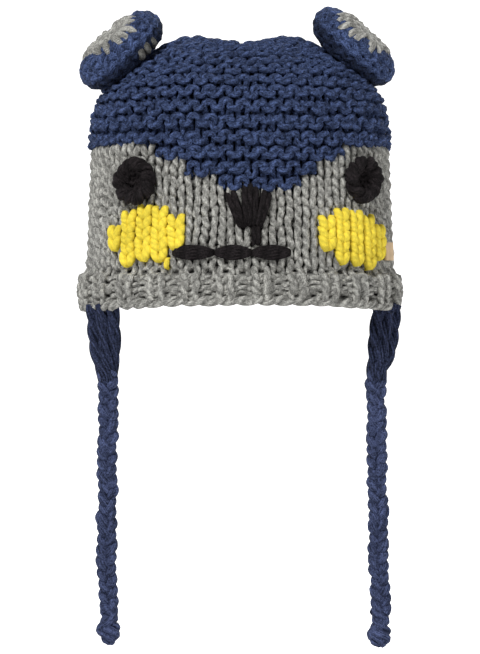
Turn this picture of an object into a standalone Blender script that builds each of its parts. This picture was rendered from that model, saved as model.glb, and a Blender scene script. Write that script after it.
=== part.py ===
"""A child's chunky knitted beanie with an animal face, two crocheted ears and two braided ties.

The origin is the centre of the head opening, level with the brim's lowest edge. The face looks
along -Y, +X is on the viewer's right and +Z is up. A place on the hat is given by its turn, in
stitches round the hat from the middle of the face towards +X, and by its height. Trim is shaped
flat, as (across, up, out), and then wrapped onto the band.
"""

from functools import lru_cache

import bmesh
import bpy
import numpy as np
from mathutils import Matrix, Vector

# Knitting
STITCHES_ROUND = 52
WALL = 0.0055
JOIN_GAP = 0.0003
SQUARENESS = 2.2

# Band and brim
BAND_HALF_WIDTH = 0.0845
BAND_HALF_DEPTH = 0.0715
BAND_TAPER = 0.0028
BAND_HEIGHT = 0.0645
BRIM_HEIGHT = 0.0235
BRIM_FLARE = 0.0045
BRIM_ARCH = 0.0045
RIB_RELIEF = 0.0011

# Crown
CROWN_RISE = 0.0574
RIDGE_PITCH = 0.0080
RIDGE_RELIEF = 0.0013
SEAM_LIFT = 0.0046
SHOULDER = 2.6

# Ears
EAR_RADIUS = 0.0265
EAR_THICKNESS = 0.0185
EAR_CENTRE_RADIUS = 0.0150
EAR_CENTRE_BULGE = 0.0030
EAR_RISE = 0.0530
EAR_FORWARD = 0.0060

# Face
EYE_RADIUS = 0.0120
EYE_THICKNESS = 0.0070
CHEEK_THICKNESS = 0.0014
CHEEK_ROW = 0.0053
CHEEK_HEIGHT = 0.0277
NOSE_TOP_HALF_WIDTH = 0.0125
NOSE_FOOT_HALF_WIDTH = 0.0062
NOSE_LENGTH = 0.0200
NOSE_LAP = 0.0005
NOSE_ACROSS = -0.0014
NOSE_THICKNESS = 0.0032
STEM_WIDTH = 0.0046
STEM_ACROSS = 0.0022
MOUTH_HEIGHT = 0.0316
MOUTH_DEPTH = 0.0084
MOUTH_THICKNESS = 0.0034
MOUTH_GAP = 0.0004
MOUTH_START = -0.0433

# Tab
TAB_WIDTH = 0.0125
TAB_DEPTH = 0.0097
TAB_THICKNESS = 0.0012
TAB_TURN = 9.6
TAB_HEIGHT = 0.0321

# Ties
TIE_DIAMETER = 0.0100
TIE_ROOT_WIDTH = 0.0260
TIE_ROOT_DEPTH = 0.0125
KNOT_WIDTH = 0.0115
KNOT_LENGTH = 0.0178

# The crown's rings, one for each garter ridge and one for the seam. Rises are shares of
# CROWN_RISE, widths and depths are shares of the band's at its top.
# ridge, rise at the middle, rise at the sides, half width, half depth
CROWN_RINGS = (
    (0, 0.000, 0.000, 1.000, 1.000),
    (1, 0.147, 0.147, 0.998, 1.000),
    (2, 0.294, 0.290, 0.985, 0.996),
    (3, 0.437, 0.425, 0.955, 0.975),
    (4, 0.567, 0.533, 0.920, 0.920),
    (5, 0.674, 0.607, 0.873, 0.835),
    (6, 0.765, 0.661, 0.832, 0.735),
    (7, 0.843, 0.699, 0.798, 0.625),
    (8, 0.908, 0.729, 0.768, 0.510),
    (9, 0.954, 0.752, 0.740, 0.390),
    (10, 0.981, 0.770, 0.715, 0.265),
    (11, 0.995, 0.784, 0.693, 0.135),
    (12, 1.000, 0.796, 0.672, 0.000),
)

# The brim's section. Heights are shares of BRIM_HEIGHT, outsets are shares of BRIM_FLARE and
# depths into the wall are shares of WALL.
# height, outset, depth into the wall
BRIM_SECTION = (
    (0.00, 0.05, 0.25),
    (0.10, 0.55, 0.00),
    (0.45, 1.00, 0.00),
    (0.80, 0.70, 0.00),
    (1.00, 0.10, 0.00),
    (1.00, 0.10, 1.00),
    (0.55, 0.80, 1.00),
    (0.10, 0.60, 1.00),
    (0.00, 0.05, 0.75),
)

# The peak's steps below the crown's base: ridges down, stitches to the left and to the right
PEAK_STEPS = (
    (1, 6, 6),
    (2, 4, 4),
    (3, 2, 3),
)

# The cheeks' columns of stitches, counted from the middle of the face: side, column, first
# row and number of rows above CHEEK_HEIGHT
CHEEK_COLUMNS = (
    ("left", -5, 1.5, 2.5),
    ("left", -6, 0.0, 5.5),
    ("left", -7, 0.0, 5.0),
    ("left", -8, -0.5, 5.0),
    ("left", -9, 1.0, 2.5),
    ("right", 4, 1.0, 3.0),
    ("right", 5, 0.0, 5.0),
    ("right", 6, -0.5, 5.5),
    ("right", 7, -0.5, 5.0),
    ("right", 8, 0.5, 2.5),
)

# The mouth's lozenges, from MOUTH_START across: name, length, pinch of the left and right ends
MOUTH_PARTS = (
    ("mouth_left", 0.0236, 0.75, 0.55),
    ("mouth_middle", 0.0191, 0.45, 0.25),
    ("mouth_right", 0.0212, 0.25, 0.80),
)

# The ears: side, middle across, lean from upright in degrees, how far the axis points to the front
EARS = (
    ("left", -0.0648, 43.0, 0.18),
    ("right", 0.0590, 42.0, 0.25),
)

# The eyes: side, turn in stitches, height
EYES = (
    ("left", -6.65, 0.0690),
    ("right", 6.75, 0.0702),
)

# How far the cheeks' columns lie round from their stitches: side, turn in stitches
CHEEK_SHIFTS = {"left": 0.35, "right": -0.25}

# The ties' roots: side, turn in stitches
TIE_ROOTS = (
    ("left", -9.65),
    ("right", 9.65),
)

# The ties' routes below the roots, chosen by hand, in metres. A route's first point is the foot
# of its root and its last is the knot's top.
TIE_ROUTES = {
    "left": (
        (-0.0742, -0.0320, -0.0325), (-0.0740, -0.0320, -0.0470), (-0.0739, -0.0322, -0.0620),
        (-0.0744, -0.0323, -0.0780), (-0.0746, -0.0324, -0.0940), (-0.0747, -0.0325, -0.1100),
        (-0.0748, -0.0325, -0.1260), (-0.0746, -0.0324, -0.1430), (-0.0736, -0.0324, -0.1610),
    ),
    "right": (
        (0.0714, -0.0320, -0.0325), (0.0712, -0.0320, -0.0470), (0.0714, -0.0320, -0.0620),
        (0.0716, -0.0321, -0.0780), (0.0719, -0.0322, -0.0940), (0.0722, -0.0323, -0.1110),
        (0.0724, -0.0324, -0.1290), (0.0730, -0.0324, -0.1470), (0.0736, -0.0324, -0.1640),
    ),
}

BAND_TOP = BRIM_HEIGHT + BAND_HEIGHT
PEAK_RIDGES = max(step[0] for step in PEAK_STEPS)
SEAM_RIDGE = CROWN_RINGS[-1][0]
RING_SAMPLES = 720


def clear_scene():
    for thing in list(bpy.data.objects):
        bpy.data.objects.remove(thing)


def make_material(name, colour, roughness):
    material = bpy.data.materials.new(name)
    material.use_nodes = True
    shader = material.node_tree.nodes["Principled BSDF"]
    shader.inputs["Base Color"].default_value = (*colour, 1.0)
    shader.inputs["Roughness"].default_value = roughness
    shader.inputs["Metallic"].default_value = 0.0
    return material


def finish_piece(name, bm, colour, roughness=0.95):
    """Closes a piece's mesh, faces it outwards and gives it its own material."""
    bmesh.ops.remove_doubles(bm, verts=bm.verts, dist=1e-6)
    bmesh.ops.triangulate(bm, faces=bm.faces)
    bmesh.ops.recalc_face_normals(bm, faces=bm.faces)
    mesh = bpy.data.meshes.new(name)
    bm.to_mesh(mesh)
    bm.free()
    mesh.shade_smooth()
    mesh.set_sharp_from_angle(angle=0.9)
    mesh.materials.append(make_material(name, colour, roughness))
    piece = bpy.data.objects.new(name, mesh)
    bpy.context.scene.collection.objects.link(piece)
    return piece


# The hat's surface

@lru_cache(maxsize=None)
def ring_curve(half_width, half_depth, squareness):
    """A closed ring from the middle of the front towards +X, sampled by its length."""
    angle = np.linspace(-np.pi / 2, 3 * np.pi / 2, RING_SAMPLES + 1)
    x = half_width * np.sign(np.cos(angle)) * np.abs(np.cos(angle)) ** (2 / squareness)
    y = half_depth * np.sign(np.sin(angle)) * np.abs(np.sin(angle)) ** (2 / squareness)
    steps = np.hypot(np.diff(x), np.diff(y))
    along = np.concatenate(([0.0], np.cumsum(steps)))
    return along / along[-1], x, y, along[-1]


def ring_point(half_width, half_depth, turn):
    share, x, y, _ = ring_curve(round(half_width, 7), round(half_depth, 7), SQUARENESS)
    place = (turn / STITCHES_ROUND) % 1.0
    return float(np.interp(place, share, x)), float(np.interp(place, share, y))


def tube_size(height):
    """Half width and half depth of the band, which narrows a little towards the crown."""
    share = min(max((height - BRIM_HEIGHT) / BAND_HEIGHT, 0.0), 1.0)
    half_width = BAND_HALF_WIDTH - BAND_TAPER * share
    return half_width, BAND_HALF_DEPTH * half_width / BAND_HALF_WIDTH


def band_point(turn, height):
    x, y = ring_point(*tube_size(height), turn)
    return Vector((x, y, height))


def crown_point(turn, ridge):
    """A point on the crown, which goes on down the band's surface below ridge 0."""
    if ridge <= 0:
        return band_point(turn, BAND_TOP + ridge * RIDGE_PITCH)
    table = np.array(CROWN_RINGS)
    middle, side, width, depth = (
        float(np.interp(ridge, table[:, 0], table[:, column])) for column in range(1, 5)
    )
    top_width, top_depth = tube_size(BAND_TOP)
    half_width = top_width * width
    x, y = ring_point(half_width, max(top_depth * depth, 1e-5), turn)
    share = ridge / SEAM_RIDGE
    across = min(abs(x) / half_width, 1.0)
    arch = 1.0 - across ** (SQUARENESS + SHOULDER * share**2)
    lift = SEAM_LIFT * share**3 * np.sin(np.pi * across) ** 2
    rise = CROWN_RISE * (side + (middle - side) * arch)
    return Vector((x, y if depth > 0 else 0.0, BAND_TOP + rise + lift))


def outward(surface, turn, level, level_step):
    """The surface's outward direction, from its slopes along the turn and the level."""
    across = surface(turn + 0.2, level) - surface(turn - 0.2, level)
    up = surface(turn, level + level_step) - surface(turn, level - level_step)
    return across.cross(up).normalized()


def band_outward(turn, height):
    return outward(band_point, turn, height, 0.001)


def crown_outward(turn, ridge):
    direction = outward(crown_point, turn, min(ridge, SEAM_RIDGE - 0.3), 0.2)
    if ridge >= SEAM_RIDGE:
        direction.y = 0.0
        direction.normalize()
    return direction


@lru_cache(maxsize=None)
def stitch_width():
    return ring_curve(*tube_size(BRIM_HEIGHT), SQUARENESS)[3] / STITCHES_ROUND


# The knitted tube

def flat_knit(columns, levels):
    """A grid of faces whose points are (turn, level, 0), one column of faces for each step."""
    bm = bmesh.new()
    columns, levels = list(columns), list(levels)
    grid = bmesh.ops.create_grid(
        bm, x_segments=len(columns) - 1, y_segments=len(levels) - 1, size=1.0
    )
    for vert in grid["verts"]:
        column = round((vert.co.x + 1) / 2 * (len(columns) - 1))
        level = round((vert.co.y + 1) / 2 * (len(levels) - 1))
        vert.co = (columns[column], levels[level], 0.0)
    return bm


def in_peak(turn, ridge):
    """True where the peak's steps reach, for the middle of one face of the grid."""
    for down, left, right in PEAK_STEPS:
        if -down < ridge < -down + 1:
            return -left < turn < right
    return False


def keep_faces(bm, wanted):
    unwanted = [f for f in bm.faces if not wanted(*f.calc_center_median().xy)]
    bmesh.ops.delete(bm, geom=unwanted, context="FACES")


def draw_back_border(bm, across_step, up_step):
    """Moves the stepped border into its own faces, which leaves a gap to the next piece."""
    moves = {}
    for vert in bm.verts:
        if not vert.is_boundary:
            continue
        centres = [f.calc_center_median() - vert.co for f in vert.link_faces]
        across = sum(1 if c.x > 0 else -1 for c in centres)
        up = sum(1 if c.y > 0 else -1 for c in centres)
        moves[vert] = Vector((np.sign(across) * across_step, np.sign(up) * up_step, 0.0))
    for vert, move in moves.items():
        vert.co += move


def join_walls(outer, inner, middle_height=0.0):
    """Joins an outer and an inner skin at their open edges, those below middle_height apart."""
    mesh = bpy.data.meshes.new("skin")
    inner.to_mesh(mesh)
    inner.free()
    outer.from_mesh(mesh)
    bpy.data.meshes.remove(mesh)
    bmesh.ops.remove_doubles(outer, verts=outer.verts, dist=1e-6)
    rims = [e for e in outer.edges if e.is_boundary]
    low = [e for e in rims if e.verts[0].co.z < middle_height]
    high = [e for e in rims if e.verts[0].co.z >= middle_height]
    for edges in (low, high):
        if edges:
            bmesh.ops.bridge_loops(outer, edges=edges)
    return outer


def make_crown(colour):
    turns = range(-STITCHES_ROUND // 2, STITCHES_ROUND // 2 + 1)
    below = [i / 2 - PEAK_RIDGES for i in range(2 * PEAK_RIDGES)]
    outer = flat_knit(turns, below + [i / 2 for i in range(2 * SEAM_RIDGE + 1)])
    inner = flat_knit(turns, below + list(range(SEAM_RIDGE + 1)))
    for skin, depth in ((outer, 0.0), (inner, WALL)):
        keep_faces(skin, lambda turn, ridge: ridge > 0 or in_peak(turn, ridge))
        open_ends = [v for v in skin.verts if abs(v.co.x) == turns[-1] or v.co.y == SEAM_RIDGE]
        held = {v: v.co.copy() for v in open_ends}
        draw_back_border(skin, JOIN_GAP / 2 / stitch_width(), JOIN_GAP / 2 / RIDGE_PITCH)
        for vert, place in held.items():
            moved_up = place.y <= 0 and vert.co.y > place.y
            vert.co = (place.x, vert.co.y if moved_up else place.y, 0.0)
        for vert in skin.verts:
            turn, ridge = vert.co.x, vert.co.y
            crest = 1.0 if abs(ridge - np.floor(ridge) - 0.5) < 0.1 else -1.0
            relief = RIDGE_RELIEF * crest if depth == 0 and ridge < SEAM_RIDGE else 0.0
            out = relief - depth
            vert.co = crown_point(turn, ridge) + crown_outward(turn, ridge) * out
    return finish_piece("crown", join_walls(outer, inner), colour)


def make_face_band(colour):
    turns = range(-STITCHES_ROUND // 2, STITCHES_ROUND // 2 + 1)
    plain_rows = 4
    plain_height = BAND_HEIGHT - PEAK_RIDGES * RIDGE_PITCH
    row_height = plain_height / plain_rows / RIDGE_PITCH
    ridges = [-PEAK_RIDGES - row_height * (plain_rows - i) for i in range(plain_rows)]
    ridges += list(range(-PEAK_RIDGES, 1))
    outer, inner = flat_knit(turns, ridges), flat_knit(turns, ridges)
    for skin, depth in ((outer, 0.0), (inner, WALL)):
        keep_faces(skin, lambda turn, ridge: not in_peak(turn, ridge))
        held = {v: v.co.x for v in skin.verts if abs(v.co.x) == turns[-1]}
        draw_back_border(skin, JOIN_GAP / 2 / stitch_width(), JOIN_GAP / 2 / RIDGE_PITCH)
        for vert, turn in held.items():
            vert.co.x = turn
        for vert in skin.verts:
            turn, height = vert.co.x, BAND_TOP + vert.co.y * RIDGE_PITCH
            vert.co = band_point(turn, height) - band_outward(turn, height) * depth
    middle = BRIM_HEIGHT + plain_height / 2
    return finish_piece("face_band", join_walls(outer, inner, middle), colour)


def brim_point(turn, height_share, outset_share, depth_share):
    """A point of the ribbed brim, whose lower edge arches up at the front and the back."""
    half_width, half_depth = tube_size(0.0)
    outset = BRIM_FLARE * outset_share - WALL * depth_share
    x, y = ring_point(half_width + outset, half_depth + outset, turn)
    arch = BRIM_ARCH * (1.0 - min(abs(x) / half_width, 1.0) ** 2.5)
    top = BRIM_HEIGHT - JOIN_GAP / 2
    return Vector((x, y, top * height_share + arch * (1.0 - height_share)))


def make_rib_brim(colour):
    """Each stitch has two columns of points, and every other stitch stands out."""
    columns = 2 * STITCHES_ROUND
    bm = flat_knit([i / 2 for i in range(columns + 1)], range(len(BRIM_SECTION) + 1))
    for vert in bm.verts:
        turn, row = vert.co.x, round(vert.co.y) % len(BRIM_SECTION)
        height, outset, depth = BRIM_SECTION[row]
        raised = int(turn) % 2 == 0
        relief = RIB_RELIEF if raised else -RIB_RELIEF
        place = brim_point(turn - 0.25, height, outset, depth)
        out = Vector((place.x, place.y, 0.0)).normalized()
        vert.co = place + out * relief
    return finish_piece("rib_brim", bm, colour)


# Trim, shaped flat as (across, up, out) and wrapped onto the band

def wrap_on_band(bm, across, height):
    for vert in bm.verts:
        turn = (across + vert.co.x) / stitch_width()
        level = height + vert.co.y
        seat = band_point(turn, level)
        vert.co = seat + band_outward(turn, level) * (vert.co.z + JOIN_GAP)


def turned_profile(profile, steps):
    """Spins (radius, height) points about the height axis into a closed body."""
    bm = bmesh.new()
    verts = [bm.verts.new((radius, 0.0, height)) for radius, height in profile]
    edges = [bm.edges.new(pair) for pair in zip(verts, verts[1:])]
    if profile[0][0] > 0:
        edges.append(bm.edges.new((verts[-1], verts[0])))
    bmesh.ops.spin(
        bm, geom=verts + edges, cent=(0, 0, 0), axis=(0, 0, 1), angle=2 * np.pi,
        steps=steps, use_merge=True,
    )
    bmesh.ops.remove_doubles(bm, verts=bm.verts, dist=1e-6)
    return bm


def make_eye(side, turn, height, colour):
    """A dished disc: a raised ring round a lower middle, all on the band."""
    ring, thick = EYE_RADIUS, EYE_THICKNESS
    profile = (
        (0.0, 0.0), (0.92 * ring, 0.0), (ring, 0.35 * thick), (0.97 * ring, 0.72 * thick),
        (0.80 * ring, thick), (0.62 * ring, 0.95 * thick), (0.42 * ring, 0.62 * thick),
        (0.0, 0.5 * thick),
    )
    bm = turned_profile(profile, 24)
    wrap_on_band(bm, turn * stitch_width(), height)
    return finish_piece("eye_" + side, bm, colour)


def make_cheek(side, colour):
    """One column of faces for each column of stitches, each with its own foot and top."""
    columns = [row for row in CHEEK_COLUMNS if row[0] == side]
    columns.sort(key=lambda row: row[1])
    rows = sorted({r for c in columns for r in (c[2], c[2] + c[3])})
    first, last = columns[0][1], columns[-1][1]
    bm = flat_knit(range(first, last + 2), rows)

    def in_column(turn, row):
        chart = columns[int(np.floor(turn)) - first]
        return chart[2] < row < chart[2] + chart[3]

    keep_faces(bm, in_column)
    for vert in bm.verts:
        vert.co = (vert.co.x * stitch_width(), vert.co.y * CHEEK_ROW, 0.0)
    sheet = bmesh.ops.extrude_face_region(bm, geom=bm.faces[:])
    raised = [v for v in sheet["geom"] if isinstance(v, bmesh.types.BMVert)]
    bmesh.ops.translate(bm, verts=raised, vec=(0, 0, CHEEK_THICKNESS))
    wrap_on_band(bm, CHEEK_SHIFTS[side] * stitch_width(), CHEEK_HEIGHT)
    return finish_piece("cheek_" + side, bm, colour, 0.9)


def grow_face(bm, face, keep_base=False):
    """Extrudes a face without moving it, and gives back the new one."""
    grown = bmesh.ops.extrude_face_region(bm, geom=[face])
    if not keep_base:
        bmesh.ops.delete(bm, geom=[face], context="FACES_ONLY")
    return next(g for g in grown["geom"] if isinstance(g, bmesh.types.BMFace))


def padded_outline(outline, thickness):
    """A flat-backed pad: the outline's edge is low and its middle stands at thickness."""
    bm = bmesh.new()
    face = bm.faces.new([bm.verts.new((x, y, 0.0)) for x, y in outline])
    middle = face.calc_center_median()
    for level, (share, out) in enumerate(((1.0, 0.45), (0.82, 0.85), (0.55, 1.0))):
        face = grow_face(bm, face, keep_base=level == 0)
        for vert in face.verts:
            vert.co.xy = middle.xy + (vert.co.xy - middle.xy) * share
            vert.co.z = out * thickness
    return bm


def nose_foot_height():
    """The nose's top laps a little over the foot of the peak."""
    return BAND_TOP - PEAK_RIDGES * RIDGE_PITCH + NOSE_LAP - NOSE_LENGTH


def make_nose(colour):
    top, foot = NOSE_TOP_HALF_WIDTH, NOSE_FOOT_HALF_WIDTH
    outline = (
        (-foot, 0.0), (foot, 0.0), (top, 0.80 * NOSE_LENGTH), (0.55 * top, NOSE_LENGTH),
        (0.0, 0.93 * NOSE_LENGTH), (-0.55 * top, NOSE_LENGTH), (-top, 0.80 * NOSE_LENGTH),
    )
    bm = padded_outline(outline, NOSE_THICKNESS)
    wrap_on_band(bm, NOSE_ACROSS, nose_foot_height())
    return finish_piece("nose", bm, colour)


def make_nose_stem(colour):
    half = STEM_WIDTH / 2
    low = MOUTH_HEIGHT + MOUTH_DEPTH / 2 + JOIN_GAP
    length = nose_foot_height() - JOIN_GAP - low
    outline = ((-half, 0.0), (half, 0.0), (half, length), (-half, length))
    bm = padded_outline(outline, 0.8 * NOSE_THICKNESS)
    wrap_on_band(bm, STEM_ACROSS, low)
    return finish_piece("nose_stem", bm, colour)


def make_mouth(colour):
    """A row of lozenges of thread, each pinched at each end by its own share."""
    half = MOUTH_DEPTH / 2
    start = MOUTH_START
    for name, length, left_pinch, right_pinch in MOUTH_PARTS:
        upper = []
        for step in [i / 4 for i in range(-4, 5)]:
            pinch = left_pinch if step < 0 else right_pinch
            upper.append((step * length / 2, half * (1.0 - pinch * abs(step) ** 1.6)))
        outline = [(x, -y) for x, y in upper] + upper[::-1]
        bm = padded_outline(outline, MOUTH_THICKNESS)
        wrap_on_band(bm, start + length / 2, MOUTH_HEIGHT)
        finish_piece(name, bm, colour)
        start += length + MOUTH_GAP


def make_side_tab(colour):
    half = TAB_WIDTH / 2
    count = 4
    bm = flat_knit([half * (2 * i / count - 1) for i in range(count + 1)], (0.0, TAB_DEPTH))
    sheet = bmesh.ops.extrude_face_region(bm, geom=bm.faces[:])
    raised = [v for v in sheet["geom"] if isinstance(v, bmesh.types.BMVert)]
    bmesh.ops.translate(bm, verts=raised, vec=(0, 0, TAB_THICKNESS))
    wrap_on_band(bm, TAB_TURN * stitch_width(), TAB_HEIGHT - TAB_DEPTH / 2)
    return finish_piece("side_tab", bm, colour, 0.7)


# Ears

def ear_profiles():
    """The rim's and the centre's half sections, as (radius, height) from the back up."""
    rim, hole, half = EAR_RADIUS, EAR_CENTRE_RADIUS, EAR_THICKNESS / 2
    depth = rim - hole
    back = (
        (hole, -0.72 * half), (hole + 0.18 * depth, -0.96 * half),
        (hole + 0.50 * depth, -half), (hole + 0.86 * depth, -0.70 * half), (rim, -0.20 * half),
    )
    rim_profile = back + tuple((radius, -height) for radius, height in reversed(back))
    seat = hole - JOIN_GAP
    bulge = half + EAR_CENTRE_BULGE
    centre_profile = (
        (0.0, -0.90 * half), (0.6 * seat, -0.86 * half), (seat, -0.66 * half),
        (seat, 0.66 * half), (0.80 * seat, 0.92 * bulge), (0.45 * seat, bulge), (0.0, bulge),
    )
    return rim_profile, centre_profile


def crown_skin_points():
    """Points all over the crown's upper part, as far out as its ridges stand."""
    points = []
    for step in range(2 * STITCHES_ROUND):
        for half_ridge in range(4, 2 * SEAM_RIDGE + 1):
            turn, ridge = step / 2, half_ridge / 2
            points.append(crown_point(turn, ridge) + crown_outward(turn, ridge) * RIDGE_RELIEF)
    return np.array([p[:] for p in points])


def ear_frame(side, across, lean, facing):
    """The ear's place: its axis is given, and it slides down the axis until it meets the crown."""
    sign = -1.0 if side == "left" else 1.0
    angle = np.radians(lean)
    axis = Vector((sign * np.sin(angle), -facing, np.cos(angle))).normalized()
    start = Vector((across, -EAR_FORWARD, BAND_TOP + EAR_RISE))
    rim_profile, centre_profile = ear_profiles()
    back = [point for point in centre_profile + rim_profile if point[1] < 0]
    radii, heights = zip(*sorted(back))
    from_start = crown_skin_points() - np.array(start)
    along = from_start @ np.array(axis)
    radius = np.sqrt(np.maximum((from_start**2).sum(1) - along**2, 0.0))
    under = radius < EAR_RADIUS + JOIN_GAP
    seat = (along - np.interp(radius, radii, heights))[under].max() + JOIN_GAP
    turn = axis.to_track_quat("Z", "Y").to_matrix().to_4x4()
    return Matrix.Translation(start + axis * seat) @ turn


def make_ear(side, across, lean, facing, rim_colour, centre_colour):
    frame = ear_frame(side, across, lean, facing)
    rim_profile, centre_profile = ear_profiles()
    pieces = (
        ("ear_" + side, rim_profile, rim_colour),
        ("ear_centre_" + side, centre_profile, centre_colour),
    )
    for name, profile, colour in pieces:
        bm = turned_profile(profile, 24)
        bmesh.ops.transform(bm, matrix=frame, verts=bm.verts)
        finish_piece(name, bm, colour)


# Ties

def make_tie_root(side, turn, colour):
    """Yarn gathered under the brim, from a flat oval along the rim to a round foot."""
    half_width, half_depth = tube_size(0.0)
    inset = WALL / 2
    seat = Vector((*ring_point(half_width - inset, half_depth - inset, turn), 0.0))
    after = Vector((*ring_point(half_width - inset, half_depth - inset, turn + 0.5), 0.0))
    along = (after - seat).normalized()
    out = along.cross(Vector((0, 0, 1)))
    foot = Vector(TIE_ROUTES[side][0])
    foot_radius = 0.56 * TIE_DIAMETER
    sections = 6
    sides = 16
    bm = bmesh.new()
    ring = bmesh.ops.create_circle(bm, cap_ends=True, segments=sides, radius=1.0)["verts"]
    unit = {v: v.co.copy() for v in ring}
    face = bm.faces[:][0]
    for section in range(sections + 1):
        if section:
            face = grow_face(bm, face, keep_base=section == 1)
            unit = match_corners(face, unit)
        share = section / sections
        narrow = share**1.1
        wide = TIE_ROOT_WIDTH / 2 * (1 - narrow) + foot_radius * narrow
        thick = TIE_ROOT_DEPTH / 2 * (1 - narrow) + foot_radius * narrow
        for vert, place in unit.items():
            lobed = 1.0 + 0.05 * np.cos(6 * np.arctan2(place.y, place.x))
            middle = seat.lerp(foot, share)
            spot = middle + (along * place.x * wide + out * place.y * thick) * lobed
            reach = min(abs(spot.x) / half_width, 1.0)
            rim = BRIM_ARCH * (1.0 - reach**2.5) - JOIN_GAP
            top = rim if section == 0 else 0.0
            spot.z = top + (foot.z + JOIN_GAP) * share
            vert.co = spot
    return finish_piece("tie_root_" + side, bm, colour)


def match_corners(face, unit):
    """Maps each new corner to the unit circle's corner of the one it was extruded from."""
    matched = {}
    for vert in face.verts:
        for edge in vert.link_edges:
            other = edge.other_vert(vert)
            if other in unit:
                matched[vert] = unit[other]
    return matched


def smooth_route(points, spacing):
    """Points along a smooth curve through the route's own points, evenly spaced."""
    knots = [Vector(p) for p in points]
    ends = [2 * knots[0] - knots[1]] + knots + [2 * knots[-1] - knots[-2]]
    dense = []
    for before, start, end, after in zip(ends, ends[1:], ends[2:], ends[3:]):
        for i in range(10):
            t = i / 10
            dense.append(0.5 * (
                2 * start + (end - before) * t
                + (2 * before - 5 * start + 4 * end - after) * t**2
                + (3 * start - before - 3 * end + after) * t**3
            ))
    dense.append(knots[-1])
    steps = [(b - a).length for a, b in zip(dense, dense[1:])]
    along = np.concatenate(([0.0], np.cumsum(steps)))
    count = max(2, round(along[-1] / spacing)) + 1
    wanted = np.linspace(0.0, along[-1], count)
    table = np.array([p[:] for p in dense])
    return [[float(np.interp(w, along, table[:, axis])) for axis in range(3)] for w in wanted]


def make_tie(side, colour):
    route = [Vector(p) for p in TIE_ROUTES[side]]
    route[0].z -= JOIN_GAP
    route[-1].z += 2 * JOIN_GAP
    points = smooth_route(route, 2 * TIE_DIAMETER)
    curve = bpy.data.curves.new("tie_" + side, "CURVE")
    curve.dimensions = "3D"
    curve.bevel_depth = TIE_DIAMETER / 2
    curve.bevel_resolution = 3
    curve.use_fill_caps = True
    spline = curve.splines.new("POLY")
    spline.points.add(len(points) - 1)
    for point, place in zip(spline.points, points):
        point.co = (*place, 1.0)
    curve.materials.append(make_material("tie_" + side, colour, 0.95))
    tie = bpy.data.objects.new("tie_" + side, curve)
    bpy.context.scene.collection.objects.link(tie)
    return tie


def make_tie_knot(side, colour):
    half, length = KNOT_WIDTH / 2, KNOT_LENGTH
    profile = (
        (0.0, 0.0), (0.70 * half, 0.0), (0.98 * half, -0.20 * length),
        (0.95 * half, -0.42 * length), (half, -0.62 * length), (0.80 * half, -0.88 * length),
        (0.0, -length),
    )
    bm = turned_profile(profile, 16)
    bmesh.ops.translate(bm, verts=bm.verts, vec=TIE_ROUTES[side][-1])
    return finish_piece("tie_knot_" + side, bm, colour)


NAVY = (0.036, 0.051, 0.110)
GREY = (0.340, 0.335, 0.310)
YELLOW = (0.800, 0.610, 0.060)
BLACK = (0.014, 0.012, 0.013)
TAN = (0.520, 0.320, 0.140)


def main():
    clear_scene()
    make_rib_brim(GREY)
    make_face_band(GREY)
    make_crown(NAVY)
    for side, across, lean, facing in EARS:
        make_ear(side, across, lean, facing, NAVY, GREY)
    for side, turn, height in EYES:
        make_eye(side, turn, height, BLACK)
        make_cheek(side, YELLOW)
    make_nose(BLACK)
    make_nose_stem(BLACK)
    make_mouth(BLACK)
    make_side_tab(TAN)
    for side, turn in TIE_ROOTS:
        make_tie_root(side, turn, NAVY)
        make_tie(side, NAVY)
        make_tie_knot(side, NAVY)


main()
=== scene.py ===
"""The looks of a child's knitted animal beanie: every row of stitches is a length of yarn.

A place on the hat is given by its turn, in stitches round the hat from the middle of the face
towards +X, and by its ridge, in garter ridges above the top of the face band. A length of yarn is
a curve with a round bevel, and its map runs along it and round it, which the wool materials read.
"""

import bmesh
import bpy
import numpy as np
from mathutils import Matrix, Vector


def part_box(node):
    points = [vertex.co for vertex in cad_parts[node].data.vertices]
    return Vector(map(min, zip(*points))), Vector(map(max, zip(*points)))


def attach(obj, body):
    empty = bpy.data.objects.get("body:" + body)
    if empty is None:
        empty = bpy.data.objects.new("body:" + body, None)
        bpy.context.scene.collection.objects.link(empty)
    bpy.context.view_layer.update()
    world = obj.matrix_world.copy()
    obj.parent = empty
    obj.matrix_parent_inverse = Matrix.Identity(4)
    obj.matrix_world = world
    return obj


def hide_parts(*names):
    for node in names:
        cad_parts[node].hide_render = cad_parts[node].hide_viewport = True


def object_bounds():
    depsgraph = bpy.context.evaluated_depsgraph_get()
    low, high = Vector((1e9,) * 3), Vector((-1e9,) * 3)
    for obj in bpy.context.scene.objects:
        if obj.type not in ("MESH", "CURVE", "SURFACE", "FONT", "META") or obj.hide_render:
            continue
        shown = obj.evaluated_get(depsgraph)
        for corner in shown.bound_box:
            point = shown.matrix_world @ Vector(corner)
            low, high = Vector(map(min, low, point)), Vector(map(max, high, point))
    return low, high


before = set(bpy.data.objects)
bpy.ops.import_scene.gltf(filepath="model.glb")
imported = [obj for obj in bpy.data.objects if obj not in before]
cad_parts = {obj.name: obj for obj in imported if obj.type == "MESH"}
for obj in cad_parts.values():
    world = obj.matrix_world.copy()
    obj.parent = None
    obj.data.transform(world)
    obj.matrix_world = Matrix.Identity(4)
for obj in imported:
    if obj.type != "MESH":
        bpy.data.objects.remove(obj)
CAD_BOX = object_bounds()

bl_info = {
    "name": "Knitted animal beanie",
    "version": (1, 0, 0),
    "blender": (4, 5, 0),
    "location": "3D View > Sidebar > Beanie",
    "description": "Knits a child's animal beanie with ears and braided ties",
    "category": "Add Mesh",
}

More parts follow.
